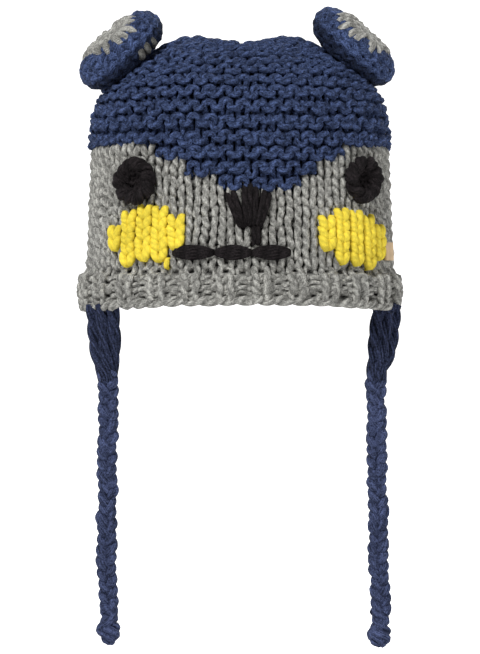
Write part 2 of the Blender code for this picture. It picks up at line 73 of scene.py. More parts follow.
# The hat's form, which the solids share
STITCHES_ROUND = 52
SQUARENESS = 2.2
BAND_HALF_WIDTH = 0.0845
BAND_HALF_DEPTH = 0.0715
BAND_TAPER = 0.0028
BAND_HEIGHT = 0.0645
BRIM_HEIGHT = 0.0235
BRIM_FLARE = 0.0045
BRIM_ARCH = 0.0045
BAND_TOP = BRIM_HEIGHT + BAND_HEIGHT
CROWN_RISE = 0.0574
RIDGE_PITCH = 0.0080
SEAM_LIFT = 0.0046
SHOULDER = 2.6
SEAM_RIDGE = 12

# The crown's rings, one for each ridge: rise at the middle and at the sides as shares of
# CROWN_RISE, half width and half depth as shares of the band's at its top
CROWN_RINGS = (
    (0, 0.000, 0.000, 1.000, 1.000),
    (1, 0.147, 0.147, 0.998, 1.000),
    (2, 0.294, 0.290, 0.985, 0.996),
    (3, 0.437, 0.425, 0.955, 0.975),
    (4, 0.567, 0.533, 0.920, 0.920),
    (5, 0.674, 0.607, 0.873, 0.835),
    (6, 0.765, 0.661, 0.832, 0.735),
    (7, 0.843, 0.699, 0.798, 0.625),
    (8, 0.908, 0.729, 0.768, 0.510),
    (9, 0.954, 0.752, 0.740, 0.390),
    (10, 0.981, 0.770, 0.715, 0.265),
    (11, 0.995, 0.784, 0.693, 0.135),
    (12, 1.000, 0.796, 0.672, 0.000),
)

# The peak's steps below the crown's base: ridges down, stitches to the left and to the right
PEAK_STEPS = (
    (1, 6, 6),
    (2, 4, 4),
    (3, 2, 3),
)

# The cheeks' columns of stitches, counted from the middle of the face: side, column, first row
# of the band and number of rows
CHEEK_COLUMNS = (
    ("left", -5, 2.1, 3),
    ("left", -6, 0.9, 5),
    ("left", -7, 1.0, 5),
    ("left", -8, 0.5, 5),
    ("left", -9, 2.0, 2),
    ("right", 4, 2.0, 3),
    ("right", 5, 0.7, 5),
    ("right", 6, 0.5, 5),
    ("right", 7, 0.1, 5),
    ("right", 8, 1.1, 3),
)

# The yellow leg on its own below the left cheek: turn and height of its foot and its top
STRAY_LEG = ((-4.72, 0.0232), (-4.66, 0.0286))

# The nose's strands: place of the top, height of the top and place of the foot, in millimetres
# across from the middle of the face and up from the nose's foot
NOSE_STRANDS = (
    (-13.2, 18.6, -6.0),
    (-10.0, 20.2, -4.6),
    (-3.8, 22.4, -3.0),
    (-0.8, 23.6, -1.2),
    (2.2, 22.4, 0.6),
    (7.2, 20.4, 2.4),
    (9.8, 18.8, 4.0),
)

# The eyes: side, turn in stitches, height above the brim's lowest edge
EYES = (("left", -6.65, 0.0690), ("right", 6.75, 0.0702))

# The side tab: turn in stitches, width, how far out of the skin it starts, and thickness
TAB_TURN = 9.6
TAB_WIDTH = 0.0125
TAB_OUT = 0.0004
TAB_THICKNESS = 0.0013

# The mouth's lozenges: name, start and end across from the middle of the face, in millimetres
MOUTH_PARTS = (
    ("mouth_left", -43.3, -19.3),
    ("mouth_middle", -20.0, 0.4),
    ("mouth_right", -0.4, 21.6),
)
MOUTH_LANES = (-0.78, -0.40, 0.0, 0.40, 0.78)
MOUTH_THICKNESS = 0.0026

# The nose's stem: the two strands' places across, in metres
STEM_STRANDS = (0.0010, 0.0032)

# The ears: side, lean from upright in degrees, how far the axis points to the front, how deep the
# ear is pressed into the crown's stitches, how far its grey stitches reach over the rim, and seed
EARS = (
    ("left", 43.0, 0.18, 0.0012, 0.19, 61),
    ("right", 42.0, 0.25, 0.0024, 0.26, 67),
)

# The ties' routes, from the foot of the gathered yarn to the top of the knot
TIE_ROUTES = {
    "left": (
        (-0.0742, -0.0320, -0.0325), (-0.0740, -0.0320, -0.0470), (-0.0739, -0.0322, -0.0620),
        (-0.0744, -0.0323, -0.0780), (-0.0746, -0.0324, -0.0940), (-0.0747, -0.0325, -0.1100),
        (-0.0748, -0.0325, -0.1260), (-0.0746, -0.0324, -0.1430), (-0.0736, -0.0324, -0.1610),
    ),
    "right": (
        (0.0714, -0.0320, -0.0325), (0.0712, -0.0320, -0.0470), (0.0714, -0.0320, -0.0620),
        (0.0716, -0.0321, -0.0780), (0.0719, -0.0322, -0.0940), (0.0722, -0.0323, -0.1110),
        (0.0724, -0.0324, -0.1290), (0.0730, -0.0324, -0.1470), (0.0736, -0.0324, -0.1640),
    ),
}

# The ties: side, the way along X and seed. Then the turn of their roots, their thickness, the braid's
# length once round its plait, its points, and the gathered yarn's share of its brightness, a painted
# shade for the shadow under the brim
TIES = (("left", -1.0, 71), ("right", 1.0, 73))
TIE_TURN = 9.65
TIE_DIAMETER = 0.0100
BRAID_LAY = 0.0178
BRAID_POINTS = 150
ROOT_SHADE_SHARE = 0.64

# The wall behind the stitches: how far inside the skin it lies, its thickness, and how much of the
# wool's brightness is left there, in a copy of the wool with painted shade for the shade between the
# stitches
CORE_OUT = -0.0046
CORE_THICKNESS = 0.0006
PAINTED_SHADE_SHARE = 0.35
MERGE_DISTANCE = 0.00002

# The skin's steps in stitches and in ridges, and the rows of the band and of the brim
TURN_STEP = 0.1
RIDGE_STEP = 0.1
BAND_ROWS = 12
BAND_PITCH = BAND_HEIGHT / BAND_ROWS
BRIM_ROWS = 5
BRIM_LOWEST_ROW = 0.07

# The two rows of a garter ridge: kind and height as a share of the ridge
RIDGE_ROWS = (("ridge_top", 0.23), ("ridge_foot", 0.77))

# How much the fibres of the navy and of the black wool differ in tone
NAVY_FLECK = 0.50
BLACK_FLECK = 0.45

# Where a row ends, its yarn dives in: over this share of a stitch, and this deep
TUCK_LENGTH = 0.3
TUCK_DEPTH = 0.0020

# Sides of the yarn's tubes in the knitting and in the rest, and the length of a turn of the plies
# in the satin stitch and in the ties
KNIT_SIDES = 6
YARN_SIDES = 8
SATIN_PLY = 0.009
TIE_PLY = 0.012

SEEDS = {"face_band": 11, "crown": 5, "rib_brim": 23, "cheeks": 31, "eyes": 41, "nose": 53}

# The camera: what it looks at, its azimuth and elevation in degrees, and its distance
CAMERA_TARGET = (0.0, 0.0, -0.0094)
CAMERA_AZIMUTH = -5.0
CAMERA_ELEVATION = 1.5
CAMERA_DISTANCE = 1.6
LENS = 160.0
SENSOR_WIDTH = 36.0

# The floor: its drop below the lowest knot, half its width, its profile from front to back, and
# the glow of its front and of the part behind the hat
FLOOR_DROP = 0.055
FLOOR_HALF_WIDTH = 7.0
FLOOR_PROFILE = (
    (-6.0, 0.0), (0.06, 0.0), (3.2, 0.0), (3.9, 0.04), (4.4, 0.24), (4.8, 0.7), (5.0, 1.4), (5.0, 7.0),
)
FLOOR_GLOWS = (("floor", 0.0), ("sweep", 0.84))

# The lights, which look at the middle of the brim: name, place, power and size
LIGHTS = (
    ("key", (-0.95, -1.4, 1.4), 42.0, 0.6),
    ("fill", (1.4, -1.2, 0.4), 9.5, 1.0),
    ("rear", (0.7, 1.4, 1.3), 20.0, 0.9),
)
WORLD_LIGHT = 0.22


# The surface of the hat

def ring_curve(half_width, half_depth):
    """A closed ring from the middle of the front towards +X, at even steps of its length."""
    angle = np.linspace(-np.pi / 2, 3 * np.pi / 2, 721)
    x = half_width * np.sign(np.cos(angle)) * np.abs(np.cos(angle)) ** (2 / SQUARENESS)
    y = half_depth * np.sign(np.sin(angle)) * np.abs(np.sin(angle)) ** (2 / SQUARENESS)
    along = np.concatenate(([0.0], np.cumsum(np.hypot(np.diff(x), np.diff(y)))))
    share = np.linspace(0.0, 1.0, round(STITCHES_ROUND / TURN_STEP) + 1)
    return np.interp(share, along / along[-1], x), np.interp(share, along / along[-1], y), along[-1]


def tube_size(height):
    """The band's half width and half depth at a height."""
    share = np.clip((height - BRIM_HEIGHT) / BAND_HEIGHT, 0.0, 1.0)
    half_width = BAND_HALF_WIDTH - BAND_TAPER * share
    return half_width, BAND_HALF_DEPTH * half_width / BAND_HALF_WIDTH


def hat_ring(ridge):
    """One ring of the hat's outer skin, and its length."""
    if ridge <= 0:
        height = BAND_TOP + ridge * RIDGE_PITCH
        x, y, length = ring_curve(*tube_size(height))
        return np.stack((x, y, np.full_like(x, height)), axis=1), length
    table = np.array(CROWN_RINGS)
    middle, side, width, depth = (
        np.interp(ridge, table[:, 0], table[:, column]) for column in range(1, 5)
    )
    top_width, top_depth = tube_size(BAND_TOP)
    half_width = top_width * width
    x, y, length = ring_curve(half_width, max(top_depth * depth, 1e-5))
    share = ridge / SEAM_RIDGE
    across = np.minimum(np.abs(x) / half_width, 1.0)
    arch = 1.0 - across ** (SQUARENESS + SHOULDER * share**2)
    lift = SEAM_LIFT * share**3 * np.sin(np.pi * across) ** 2
    rise = CROWN_RISE * (side + (middle - side) * arch)
    return np.stack((x, y, BAND_TOP + rise + lift), axis=1), length


def brim_ring(share):
    """One ring of the brim's outer skin, from its lower edge at share 0 to its top at 1."""
    outset = BRIM_FLARE * np.interp(share, (0.0, 0.10, 0.45, 0.80, 1.0), (0.30, 0.60, 1.0, 0.70, 0.10))
    half_width, half_depth = tube_size(0.0)
    x, y, length = ring_curve(half_width + outset, half_depth + outset)
    arch = BRIM_ARCH * (1.0 - np.minimum(np.abs(x) / half_width, 1.0) ** 2.5)
    return np.stack((x, y, BRIM_HEIGHT * share + arch * (1.0 - share)), axis=1), length


def drawn_in(turn):
    """The stitches beside the peak lie a little nearer to the middle of the face."""
    folded = np.mod(turn + STITCHES_ROUND / 2, STITCHES_ROUND) - STITCHES_ROUND / 2
    left = 0.35 * np.exp(-((folded + 6.5) / 4.0) ** 2)
    right = 0.20 * np.exp(-((folded - 6.5) / 4.0) ** 2)
    return turn + left - right


class Skin:
    """A skin of rings, read at any turn and level between its rings."""

    def __init__(self, ring, levels, last_level):
        self.levels = np.array(levels)
        rings = [ring(min(level, last_level)) for level in levels]
        self.points = np.array([points for points, _ in rings])
        self.lengths = np.array([length for _, length in rings])
        across = np.gradient(self.points, axis=1)
        across[:, 0] = across[:, -1] = self.points[:, 1] - self.points[:, -2]
        up = np.gradient(self.points, axis=0)
        facing = np.cross(across, up)
        flat = np.linalg.norm(facing, axis=2, keepdims=True)
        self.facing = facing / np.maximum(flat, 1e-12)
        self.pitch = np.linalg.norm(up, axis=2) / (self.levels[1] - self.levels[0])

    def read(self, table, turn, level):
        """A table's values between its rings and columns."""
        column = np.mod(turn / STITCHES_ROUND, 1.0) * (self.points.shape[1] - 1)
        row = np.interp(level, self.levels, np.arange(len(self.levels)))
        left = np.minimum(column.astype(int), self.points.shape[1] - 2)
        low = np.minimum(row.astype(int), len(self.levels) - 2)
        across, up = column - left, row - low
        if table.ndim == 3:
            across, up = across[:, None], up[:, None]
        lower = table[low, left] * (1 - across) + table[low, left + 1] * across
        upper = table[low + 1, left] * (1 - across) + table[low + 1, left + 1] * across
        return lower * (1 - up) + upper * up

    def place(self, turn, level, out):
        """Points at a turn and a level, so far out from the skin."""
        turn, level = np.atleast_1d(turn).astype(float), np.atleast_1d(level).astype(float)
        turn, level = np.broadcast_arrays(turn, level)
        facing = self.read(self.facing, turn, level)
        facing /= np.linalg.norm(facing, axis=1, keepdims=True)
        return self.read(self.points, turn, level) + facing * np.atleast_1d(out)[:, None]

    def row_pitch(self, turn, level):
        """The height of one level's step at a place."""
        return self.read(self.pitch, turn, level)

    def girth(self, level):
        """The length once round at a level."""
        return np.interp(level, self.levels, self.lengths)


LOWEST_RIDGE = -BAND_HEIGHT / RIDGE_PITCH - 0.5
HAT = Skin(
    hat_ring, np.arange(LOWEST_RIDGE, SEAM_RIDGE + RIDGE_STEP / 2, RIDGE_STEP), SEAM_RIDGE - 0.02
)
BRIM = Skin(brim_ring, np.linspace(-0.1, 1.1, 25), 9.0)
STITCH_WIDTH = HAT.girth(LOWEST_RIDGE) / STITCHES_ROUND


# Yarn

class Strand:
    """One length of yarn: its points, its thickness at each of them and whether its ends meet."""

    def __init__(self, points, thickness, closed=False):
        self.points = np.asarray(points, float)
        self.thickness = np.broadcast_to(thickness, len(self.points)).astype(float)
        self.closed = closed

    def length(self):
        """The length of the yarn."""
        points = np.vstack((self.points, self.points[:1])) if self.closed else self.points
        return np.linalg.norm(np.diff(points, axis=0), axis=1).sum()


def smooth_noise(rng, places, size, period=None):
    """A value for each place that wanders smoothly from one whole number to the next."""
    count = int(period or np.ceil(places.max()) - np.floor(places.min()) + 3)
    values = rng.normal(0.0, size, count)
    low = np.floor(places).astype(int)
    share = places - low
    share = share * share * (3 - 2 * share)
    first = 0 if period else low.min()
    return values[(low - first) % count] * (1 - share) + values[(low + 1 - first) % count] * share


# How a stitch's yarn goes out and in: the share of its depth at a phase of its loop
DEPTHS = {
    "knit": lambda phase: -np.cos(2 * phase),
    "ridge_top": lambda phase: -np.cos(phase),
    "ridge_foot": lambda phase: np.cos(phase),
}


def loop_phases(swing, rise, width, count):
    """Phases of one stitch's loop that divide its length evenly."""
    phase = np.linspace(0.0, 2 * np.pi, 400)
    across = width * (phase / (2 * np.pi) + swing * np.sin(2 * phase))
    up = -rise * np.cos(phase)
    along = np.concatenate(([0.0], np.cumsum(np.hypot(np.diff(across), np.diff(up)))))
    return np.interp(np.arange(count) / count, along / along[-1], phase)


def knit_row(skin, level, kind, style, rng, first=0, last=None, stitches=STITCHES_ROUND):
    """A row of loops from the first stitch up to the last, or all the way round.

    style holds the row's swing, rise in levels and in metres, depth, sink below the skin,
    thickness, how much it slims as it goes in, points in a stitch, unevenness and full pitch.
    """
    closed = last is None
    last = stitches if closed else last
    width = skin.girth(level) / stitches
    phases = loop_phases(style["swing"], style["rise_length"], width, style["points"])
    stitch = np.repeat(np.arange(first, last), len(phases))
    phase = np.tile(phases, last - first)
    if not closed:
        stitch, phase = np.append(stitch, last - 1), np.append(phase, 2 * np.pi)
    along = stitch + phase / (2 * np.pi)
    period = stitches if closed else None
    uneven = style["uneven"]
    swing = style["swing"] * (1 + smooth_noise(rng, along, uneven, period))
    rise = style["rise"] * (1 + smooth_noise(rng, along, uneven, period))
    across = along + swing * np.sin(2 * phase)
    across = across + smooth_noise(rng, along, 0.35 * uneven, period)
    sag = smooth_noise(rng, along / 3, 0.25 * uneven)
    up = level - rise * np.cos(phase) + (0.0 if closed else sag)
    turn = drawn_in(across * STITCHES_ROUND / stitches)
    tight = np.clip(skin.row_pitch(turn, np.full_like(turn, level)) / style["pitch"], 0.3, 1.0)
    depth = style["depth"] * (1 + smooth_noise(rng, along, uneven, period))
    shown = DEPTHS[kind](phase)
    out = shown * depth - style["sink"]
    thick = style["thickness"] * (1 - style["slim"] * (0.5 - 0.5 * shown))
    thick = thick * (1 + smooth_noise(rng, along * 2, 0.35 * uneven, 2 * stitches if closed else None))
    thick = thick * (0.45 + 0.55 * tight)
    if not closed:
        ends = np.minimum(along - first, last - along)
        tuck = np.clip(1 - ends / TUCK_LENGTH, 0, 1)
        out = out - TUCK_DEPTH * tuck
        thick = thick * (1 - 0.4 * tuck)
    return Strand(skin.place(turn, up, out), thick, closed)


def yarn_mesh(name, strands, sides, ply_length):
    """Makes the strands' round tubes. The map's U counts plies along each strand, V goes round."""
    curve = bpy.data.curves.new(name, "CURVE")
    curve.dimensions = "3D"
    curve.bevel_depth = 1.0
    curve.bevel_resolution = sides // 2 - 2
    curve.use_fill_caps = True
    for strand in strands:
        spline = curve.splines.new("POLY")
        spline.points.add(len(strand.points) - 1)
        spline.points.foreach_set(
            "co", np.column_stack((strand.points, np.ones(len(strand.points)))).ravel()
        )
        spline.points.foreach_set("radius", strand.thickness / 2)
        spline.use_cyclic_u = strand.closed
        spline.use_smooth = True
    holder = bpy.data.objects.new(name + "_line", curve)
    bpy.context.scene.collection.objects.link(holder)
    bpy.context.view_layer.update()
    depsgraph = bpy.context.evaluated_depsgraph_get()
    mesh = bpy.data.meshes.new_from_object(holder.evaluated_get(depsgraph))
    bpy.data.objects.remove(holder)
    bpy.data.curves.remove(curve)
    mesh.name = name
    stretch_map(mesh, strands, sides, ply_length)
    mesh.shade_smooth()
    return mesh


def stretch_map(mesh, strands, sides, ply_length):
    """Scales the map of each strand from 0 to 1 along to its number of plies."""
    layer = mesh.uv_layers[0]
    layer.name = "yarn"
    corners = np.zeros(2 * len(mesh.loops))
    layer.uv.foreach_get("vector", corners)
    corners = corners.reshape(-1, 2)
    sizes = np.zeros(len(mesh.polygons), int)
    mesh.polygons.foreach_get("loop_total", sizes)
    first_corner = np.concatenate(([0], np.cumsum(sizes)))
    face = 0
    for strand in strands:
        count = len(strand.points) * sides if strand.closed else (len(strand.points) - 1) * sides + 2
        start, end = first_corner[face], first_corner[min(face + count, len(sizes))]
        corners[start:end, 0] *= strand.length() / ply_length
        face += count
    layer.uv.foreach_set("vector", corners.ravel())


def move_to(bm, places):
    """Moves a bmesh's vertices to their places, in order."""
    for vert, place in zip(bm.verts, places):
        vert.co = place


def smooth_mesh(name, bm, *maps):
    """The mesh of a bmesh that is done with, smooth, with the maps named."""
    mesh = bpy.data.meshes.new(name)
    bm.to_mesh(mesh)
    bm.free()
    for each in maps:
        mesh.uv_layers.new(name=each)
    mesh.shade_smooth()
    return mesh


# The wall is meant for the wool with painted shade, a dark sheet for the shade seen through the gaps
def core_cells(name, skin, columns, levels, owned):
    """The inside of the knitting: a thin closed wall behind the stitches, of the cells owned."""
    bm = bmesh.new()
    across, up = len(columns) - 1, len(levels) - 1
    bmesh.ops.create_grid(bm, x_segments=across, y_segments=up, size=0.5)
    cells = np.array([v.co[:2] for v in bm.verts]) + 0.5
    column = np.rint(cells[:, 0] * across).astype(int)
    row = np.rint(cells[:, 1] * up).astype(int)
    turns = drawn_in(np.array(columns)[column])
    places = skin.place(turns, np.array(levels)[row], np.full(len(cells), CORE_OUT))
    dropped = []
    for face in bm.faces:
        cell = face.calc_center_median()
        turn = np.interp((cell.x + 0.5) * across, np.arange(across + 1), columns)
        level = np.interp((cell.y + 0.5) * up, np.arange(up + 1), levels)
        if not owned(turn, level):
            dropped.append(face)
    move_to(bm, places)
    bmesh.ops.delete(bm, geom=dropped, context="FACES")
    bmesh.ops.remove_doubles(bm, verts=bm.verts, dist=MERGE_DISTANCE)
    bmesh.ops.dissolve_degenerate(bm, edges=bm.edges, dist=MERGE_DISTANCE)
    bmesh.ops.recalc_face_normals(bm, faces=bm.faces)
    bmesh.ops.solidify(bm, geom=bm.faces[:], thickness=CORE_THICKNESS)
    bmesh.ops.recalc_face_normals(bm, faces=bm.faces)
    return smooth_mesh(name, bm, "yarn")


def joined(mesh, *painted_shade_parts):
    """The yarn and what lies deeper as one mesh: the deeper ones take the second material, the wool with
    painted shade.
    """
    bm = bmesh.new()
    bm.from_mesh(mesh)
    for each in painted_shade_parts:
        count = len(bm.faces)
        bm.from_mesh(each)
        bm.faces.ensure_lookup_table()
        for face in bm.faces[count:]:
            face.material_index = 1
        bpy.data.meshes.remove(each)
    bm.to_mesh(mesh)
    bm.free()
    return mesh


# Materials

class Nodes:
    """Short ways to add and link the nodes of one material."""

    def __init__(self, name):
        self.material = bpy.data.materials.new(name)
        self.material.use_nodes = True
        self.tree = self.material.node_tree
        self.shader = self.tree.nodes["Principled BSDF"]

    def add(self, kind, inputs=None, **settings):
        node = self.tree.nodes.new(kind)
        for key, value in settings.items():
            setattr(node, key, value)
        for key, value in (inputs or {}).items():
            if isinstance(value, bpy.types.NodeSocket):
                self.tree.links.new(value, node.inputs[key])
            else:
                node.inputs[key].default_value = value
        return node

    def sum(self, operation, *values):
        inputs = dict(enumerate(values))
        return self.add("ShaderNodeMath", inputs, operation=operation).outputs[0]

    def noise(self, place, scale, detail):
        inputs = {"Vector": place, "Scale": scale, "Detail": detail}
        return self.add("ShaderNodeTexNoise", inputs).outputs[0]

    def stretch(self, value, low, high):
        inputs = {"Value": value, "From Min": low, "From Max": high}
        return self.add("ShaderNodeMapRange", inputs).outputs[0]

    def relief(self, height, strength, distance):
        inputs = {"Height": height, "Strength": strength, "Distance": distance}
        bump = self.add("ShaderNodeBump", inputs)
        self.tree.links.new(bump.outputs[0], self.shader.inputs["Normal"])

    def mix(self, factor, low, high, blend="MIX"):
        node = self.add("ShaderNodeMix", data_type="RGBA", blend_type=blend)
        for socket, value in ((node.inputs[0], factor), (node.inputs[6], low), (node.inputs[7], high)):
            if isinstance(value, bpy.types.NodeSocket):
                self.tree.links.new(value, socket)
            else:
                socket.default_value = value
        return node.outputs[2]


def shade(colour, factor):
    """The colour made darker or lighter, opaque."""
    return (*(channel * factor for channel in colour), 1.0)


def wool(name, colour, plies=2, fleck=0.30, depth=0.0008, groove=0.55):
    """Plied wool: twisted plies and fine fibres along the yarn, uneven dye over the piece.

    fleck is how much the fibres differ in tone, depth the relief, and the last the tone of the painted
    shade between the plies, which also sets how far they stand out.
    """
    nodes = Nodes(name)
    uv = nodes.add("ShaderNodeUVMap", uv_map="yarn").outputs[0]
    along, around, _ = nodes.add("ShaderNodeSeparateXYZ", {0: uv}).outputs
    turned = nodes.sum("MULTIPLY_ADD", around, float(plies), along)
    angle = nodes.sum("MULTIPLY", turned, 2 * np.pi)
    ply = nodes.sum("MULTIPLY_ADD", nodes.sum("SINE", angle), 0.5, 0.5)
    circle = nodes.sum("MULTIPLY", around, 2 * np.pi)
    side = nodes.sum("MULTIPLY", nodes.sum("COSINE", circle), 1.4)
    front = nodes.sum("MULTIPLY", nodes.sum("SINE", circle), 1.4)
    length = nodes.sum("MULTIPLY", along, 0.5)
    path = nodes.add("ShaderNodeCombineXYZ", {0: side, 1: front, 2: length}).outputs[0]
    fibre = nodes.noise(path, 5.0, 3.0)
    place = nodes.add("ShaderNodeTexCoord").outputs["Object"]
    patch = nodes.noise(place, 60.0, 2.0)
    grain = nodes.noise(place, 1100.0, 2.0)
    streak = nodes.sum("MULTIPLY_ADD", fibre, 0.55, nodes.sum("MULTIPLY", grain, 0.45))
    tone = nodes.stretch(streak, 0.40, 0.60)
    base = nodes.mix(tone, shade(colour, 1 - 1.6 * fleck), shade(colour, 1 + 1.6 * fleck))
    # Painted shade in the crevices between the plies, and a slight painted highlight on their crests
    ply_painted_shade = nodes.mix(ply, (groove, groove, groove, 1), (1.08, 1.08, 1.08, 1))
    dyed = nodes.mix(nodes.stretch(patch, 0.3, 0.7), (0.86, 0.86, 0.86, 1), (1.12, 1.12, 1.12, 1))
    shaded = nodes.mix(1.0, nodes.mix(1.0, base, ply_painted_shade, "MULTIPLY"), dyed, "MULTIPLY")
    nodes.tree.links.new(shaded, nodes.shader.inputs["Base Color"])
    rough = nodes.sum("MULTIPLY", streak, 1.5)
    nodes.relief(nodes.sum("MULTIPLY_ADD", ply, 2 * (1 - groove), rough), 1.0, depth)
    nodes.shader.inputs["Roughness"].default_value = 0.92
    nodes.shader.inputs["Sheen Weight"].default_value = 0.05
    nodes.shader.inputs["Sheen Roughness"].default_value = 0.5
    nodes.shader.inputs["Sheen Tint"].default_value = shade(colour, 1.0)
    nodes.shader.inputs["Specular IOR Level"].default_value = 0.12
    return nodes.material


def finish(name, mesh, materials, slot, *nodes):
    """Puts a finished mesh in the scene, in place of the solids it stands for."""
    for material in materials:
        mesh.materials.append(material)
    piece = bpy.data.objects.new(name, mesh)
    bpy.context.scene.collection.objects.link(piece)
    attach(piece, "root")
    if nodes:
        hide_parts(*nodes)
    return piece


# Sizes and colours that a user would change

class BeanieSizes(bpy.types.PropertyGroup):
    yarn: bpy.props.FloatProperty(
        name="Yarn", description="Thickness of the bulky yarn", default=0.0039, unit="LENGTH"
    )
    ply: bpy.props.FloatProperty(
        name="Ply", description="Length of one turn of the plies", default=0.0060, unit="LENGTH"
    )
    uneven: bpy.props.FloatProperty(
        name="Uneven", description="How much the stitches differ", default=0.08, min=0.0, max=0.3
    )
    tie: bpy.props.FloatProperty(
        name="Tie", description="Thickness of each braid", default=TIE_DIAMETER, unit="LENGTH"
    )


class BeanieColours(bpy.types.PropertyGroup):
    navy: bpy.props.FloatVectorProperty(
        name="Navy", description="Crown and ears", subtype="COLOR", default=(0.050, 0.074, 0.164)
    )
    tie: bpy.props.FloatVectorProperty(
        name="Tie", description="Braids and their roots", subtype="COLOR", default=(0.054, 0.069, 0.143)
    )
    grey: bpy.props.FloatVectorProperty(
        name="Grey", description="Face, brim and ear centres", subtype="COLOR",
        default=(0.400, 0.396, 0.368),
    )
    yellow: bpy.props.FloatVectorProperty(
        name="Yellow", description="Cheeks", subtype="COLOR", default=(0.81, 0.64, 0.062)
    )
    black: bpy.props.FloatVectorProperty(
        name="Black", description="Eyes, nose and mouth", subtype="COLOR", default=(0.016, 0.013, 0.014)
    )
    tan: bpy.props.FloatVectorProperty(
        name="Tan", description="Side tab", subtype="COLOR", default=(0.52, 0.36, 0.20)
    )


def get_material(name, colour, **settings):
    """The wool of that name, made where it isn't there yet."""
    return bpy.data.materials.get(name) or wool(name, colour, **settings)


def with_painted_shade(name, colour, **settings):
    """The wool, and a darker copy of it with painted shade, for the yarn deep between the stitches,
    where little light comes.
    """
    deep = tuple(PAINTED_SHADE_SHARE * channel for channel in colour)
    return get_material(name, colour, **settings), get_material(name + " deep", deep, **settings)


def in_peak(turn, ridge):
    """True where the peak's steps reach."""
    turn = (turn + STITCHES_ROUND / 2) % STITCHES_ROUND - STITCHES_ROUND / 2
    for down, left, right in PEAK_STEPS:
        if -down < ridge < -down + 1:
            return -left < turn < right
    return False


def band_level(row):
    """The ridge at the middle of one of the band's rows."""
    return -BAND_HEIGHT / RIDGE_PITCH * (1 - (row + 0.5) / BAND_ROWS)


def plain_style(sizes):
    """How the rows of the band lie."""
    return {
        "swing": 0.155, "rise": 0.92 * BAND_PITCH / RIDGE_PITCH, "rise_length": 0.92 * BAND_PITCH,
        "depth": 0.0021, "sink": 0.0036, "thickness": 0.98 * sizes.yarn, "slim": 0.22,
        "points": 16, "uneven": 1.8 * sizes.uneven, "pitch": RIDGE_PITCH,
    }


def garter_style(sizes):
    """How the rows of the crown lie."""
    return {
        "swing": 0.17, "rise": 0.52, "rise_length": 0.52 * RIDGE_PITCH, "depth": 0.0026,
        "sink": 0.0028, "thickness": 0.98 * sizes.yarn, "slim": 0.36, "points": 15,
        "uneven": 2.3 * sizes.uneven, "pitch": RIDGE_PITCH,
    }


class BEANIE_OT_stage(bpy.types.Operator):
    """Sets up the camera, the pale floor and the soft lights"""
    bl_idname = "beanie.stage"
    bl_label = "Camera, floor and lights"

    def execute(self, context):
        data = bpy.data.cameras.new("camera")
        data.sensor_width = SENSOR_WIDTH
        data.lens = LENS
        camera = bpy.data.objects.new("camera", data)
        azimuth, elevation = np.radians(CAMERA_AZIMUTH), np.radians(CAMERA_ELEVATION)
        away = Vector((
            np.sin(azimuth) * np.cos(elevation), -np.cos(azimuth) * np.cos(elevation),
            np.sin(elevation),
        ))
        camera.location = Vector(CAMERA_TARGET) + away * CAMERA_DISTANCE
        camera.rotation_euler = (-away).to_track_quat("-Z", "Y").to_euler()
        context.scene.collection.objects.link(camera)
        context.scene.camera = camera
        context.scene.view_settings.view_transform = "Standard"
        make_floor()
        make_lights()
        return {"FINISHED"}


def make_floor():
    """A pale sweep: a plain floor that curves up behind into a bright wall."""
    bm = bmesh.new()
    height = CAD_BOX[0][2] - FLOOR_DROP
    verts = [bm.verts.new((-FLOOR_HALF_WIDTH, y, height + z)) for y, z in FLOOR_PROFILE]
    edges = [bm.edges.new(pair) for pair in zip(verts, verts[1:])]
    grown = bmesh.ops.extrude_edge_only(bm, edges=edges)
    moved = [v for v in grown["geom"] if isinstance(v, bmesh.types.BMVert)]
    bmesh.ops.translate(bm, verts=moved, vec=(2 * FLOOR_HALF_WIDTH, 0.0, 0.0))
    for face in bm.faces:
        face.material_index = int(face.calc_center_median().y > 0.0)
    mesh = smooth_mesh("floor", bm)
    for name, glow in FLOOR_GLOWS:
        nodes = Nodes(name)
        nodes.shader.inputs["Base Color"].default_value = (0.8, 0.8, 0.8, 1.0)
        nodes.shader.inputs["Roughness"].default_value = 0.9
        nodes.shader.inputs["Emission Color"].default_value = (1.0, 1.0, 1.0, 1.0)
        nodes.shader.inputs["Emission Strength"].default_value = glow
        mesh.materials.append(nodes.material)
    floor = bpy.data.objects.new("floor", mesh)
    bpy.context.scene.collection.objects.link(floor)


def make_lights():
    """Three soft lights and an even white surround."""
    for name, place, power, size in LIGHTS:
        light = bpy.data.lights.new(name, "AREA")
        light.energy = power
        light.size = size
        lamp = bpy.data.objects.new(name, light)
        lamp.location = place
        lamp.rotation_euler = (-Vector(place)).to_track_quat("-Z", "Y").to_euler()
        bpy.context.scene.collection.objects.link(lamp)
    world = bpy.data.worlds.new("studio")
    world.use_nodes = True
    surround = world.node_tree.nodes["Background"]
    surround.inputs["Color"].default_value = (1.0, 1.0, 1.0, 1.0)
    surround.inputs["Strength"].default_value = WORLD_LIGHT
    bpy.context.scene.world = world


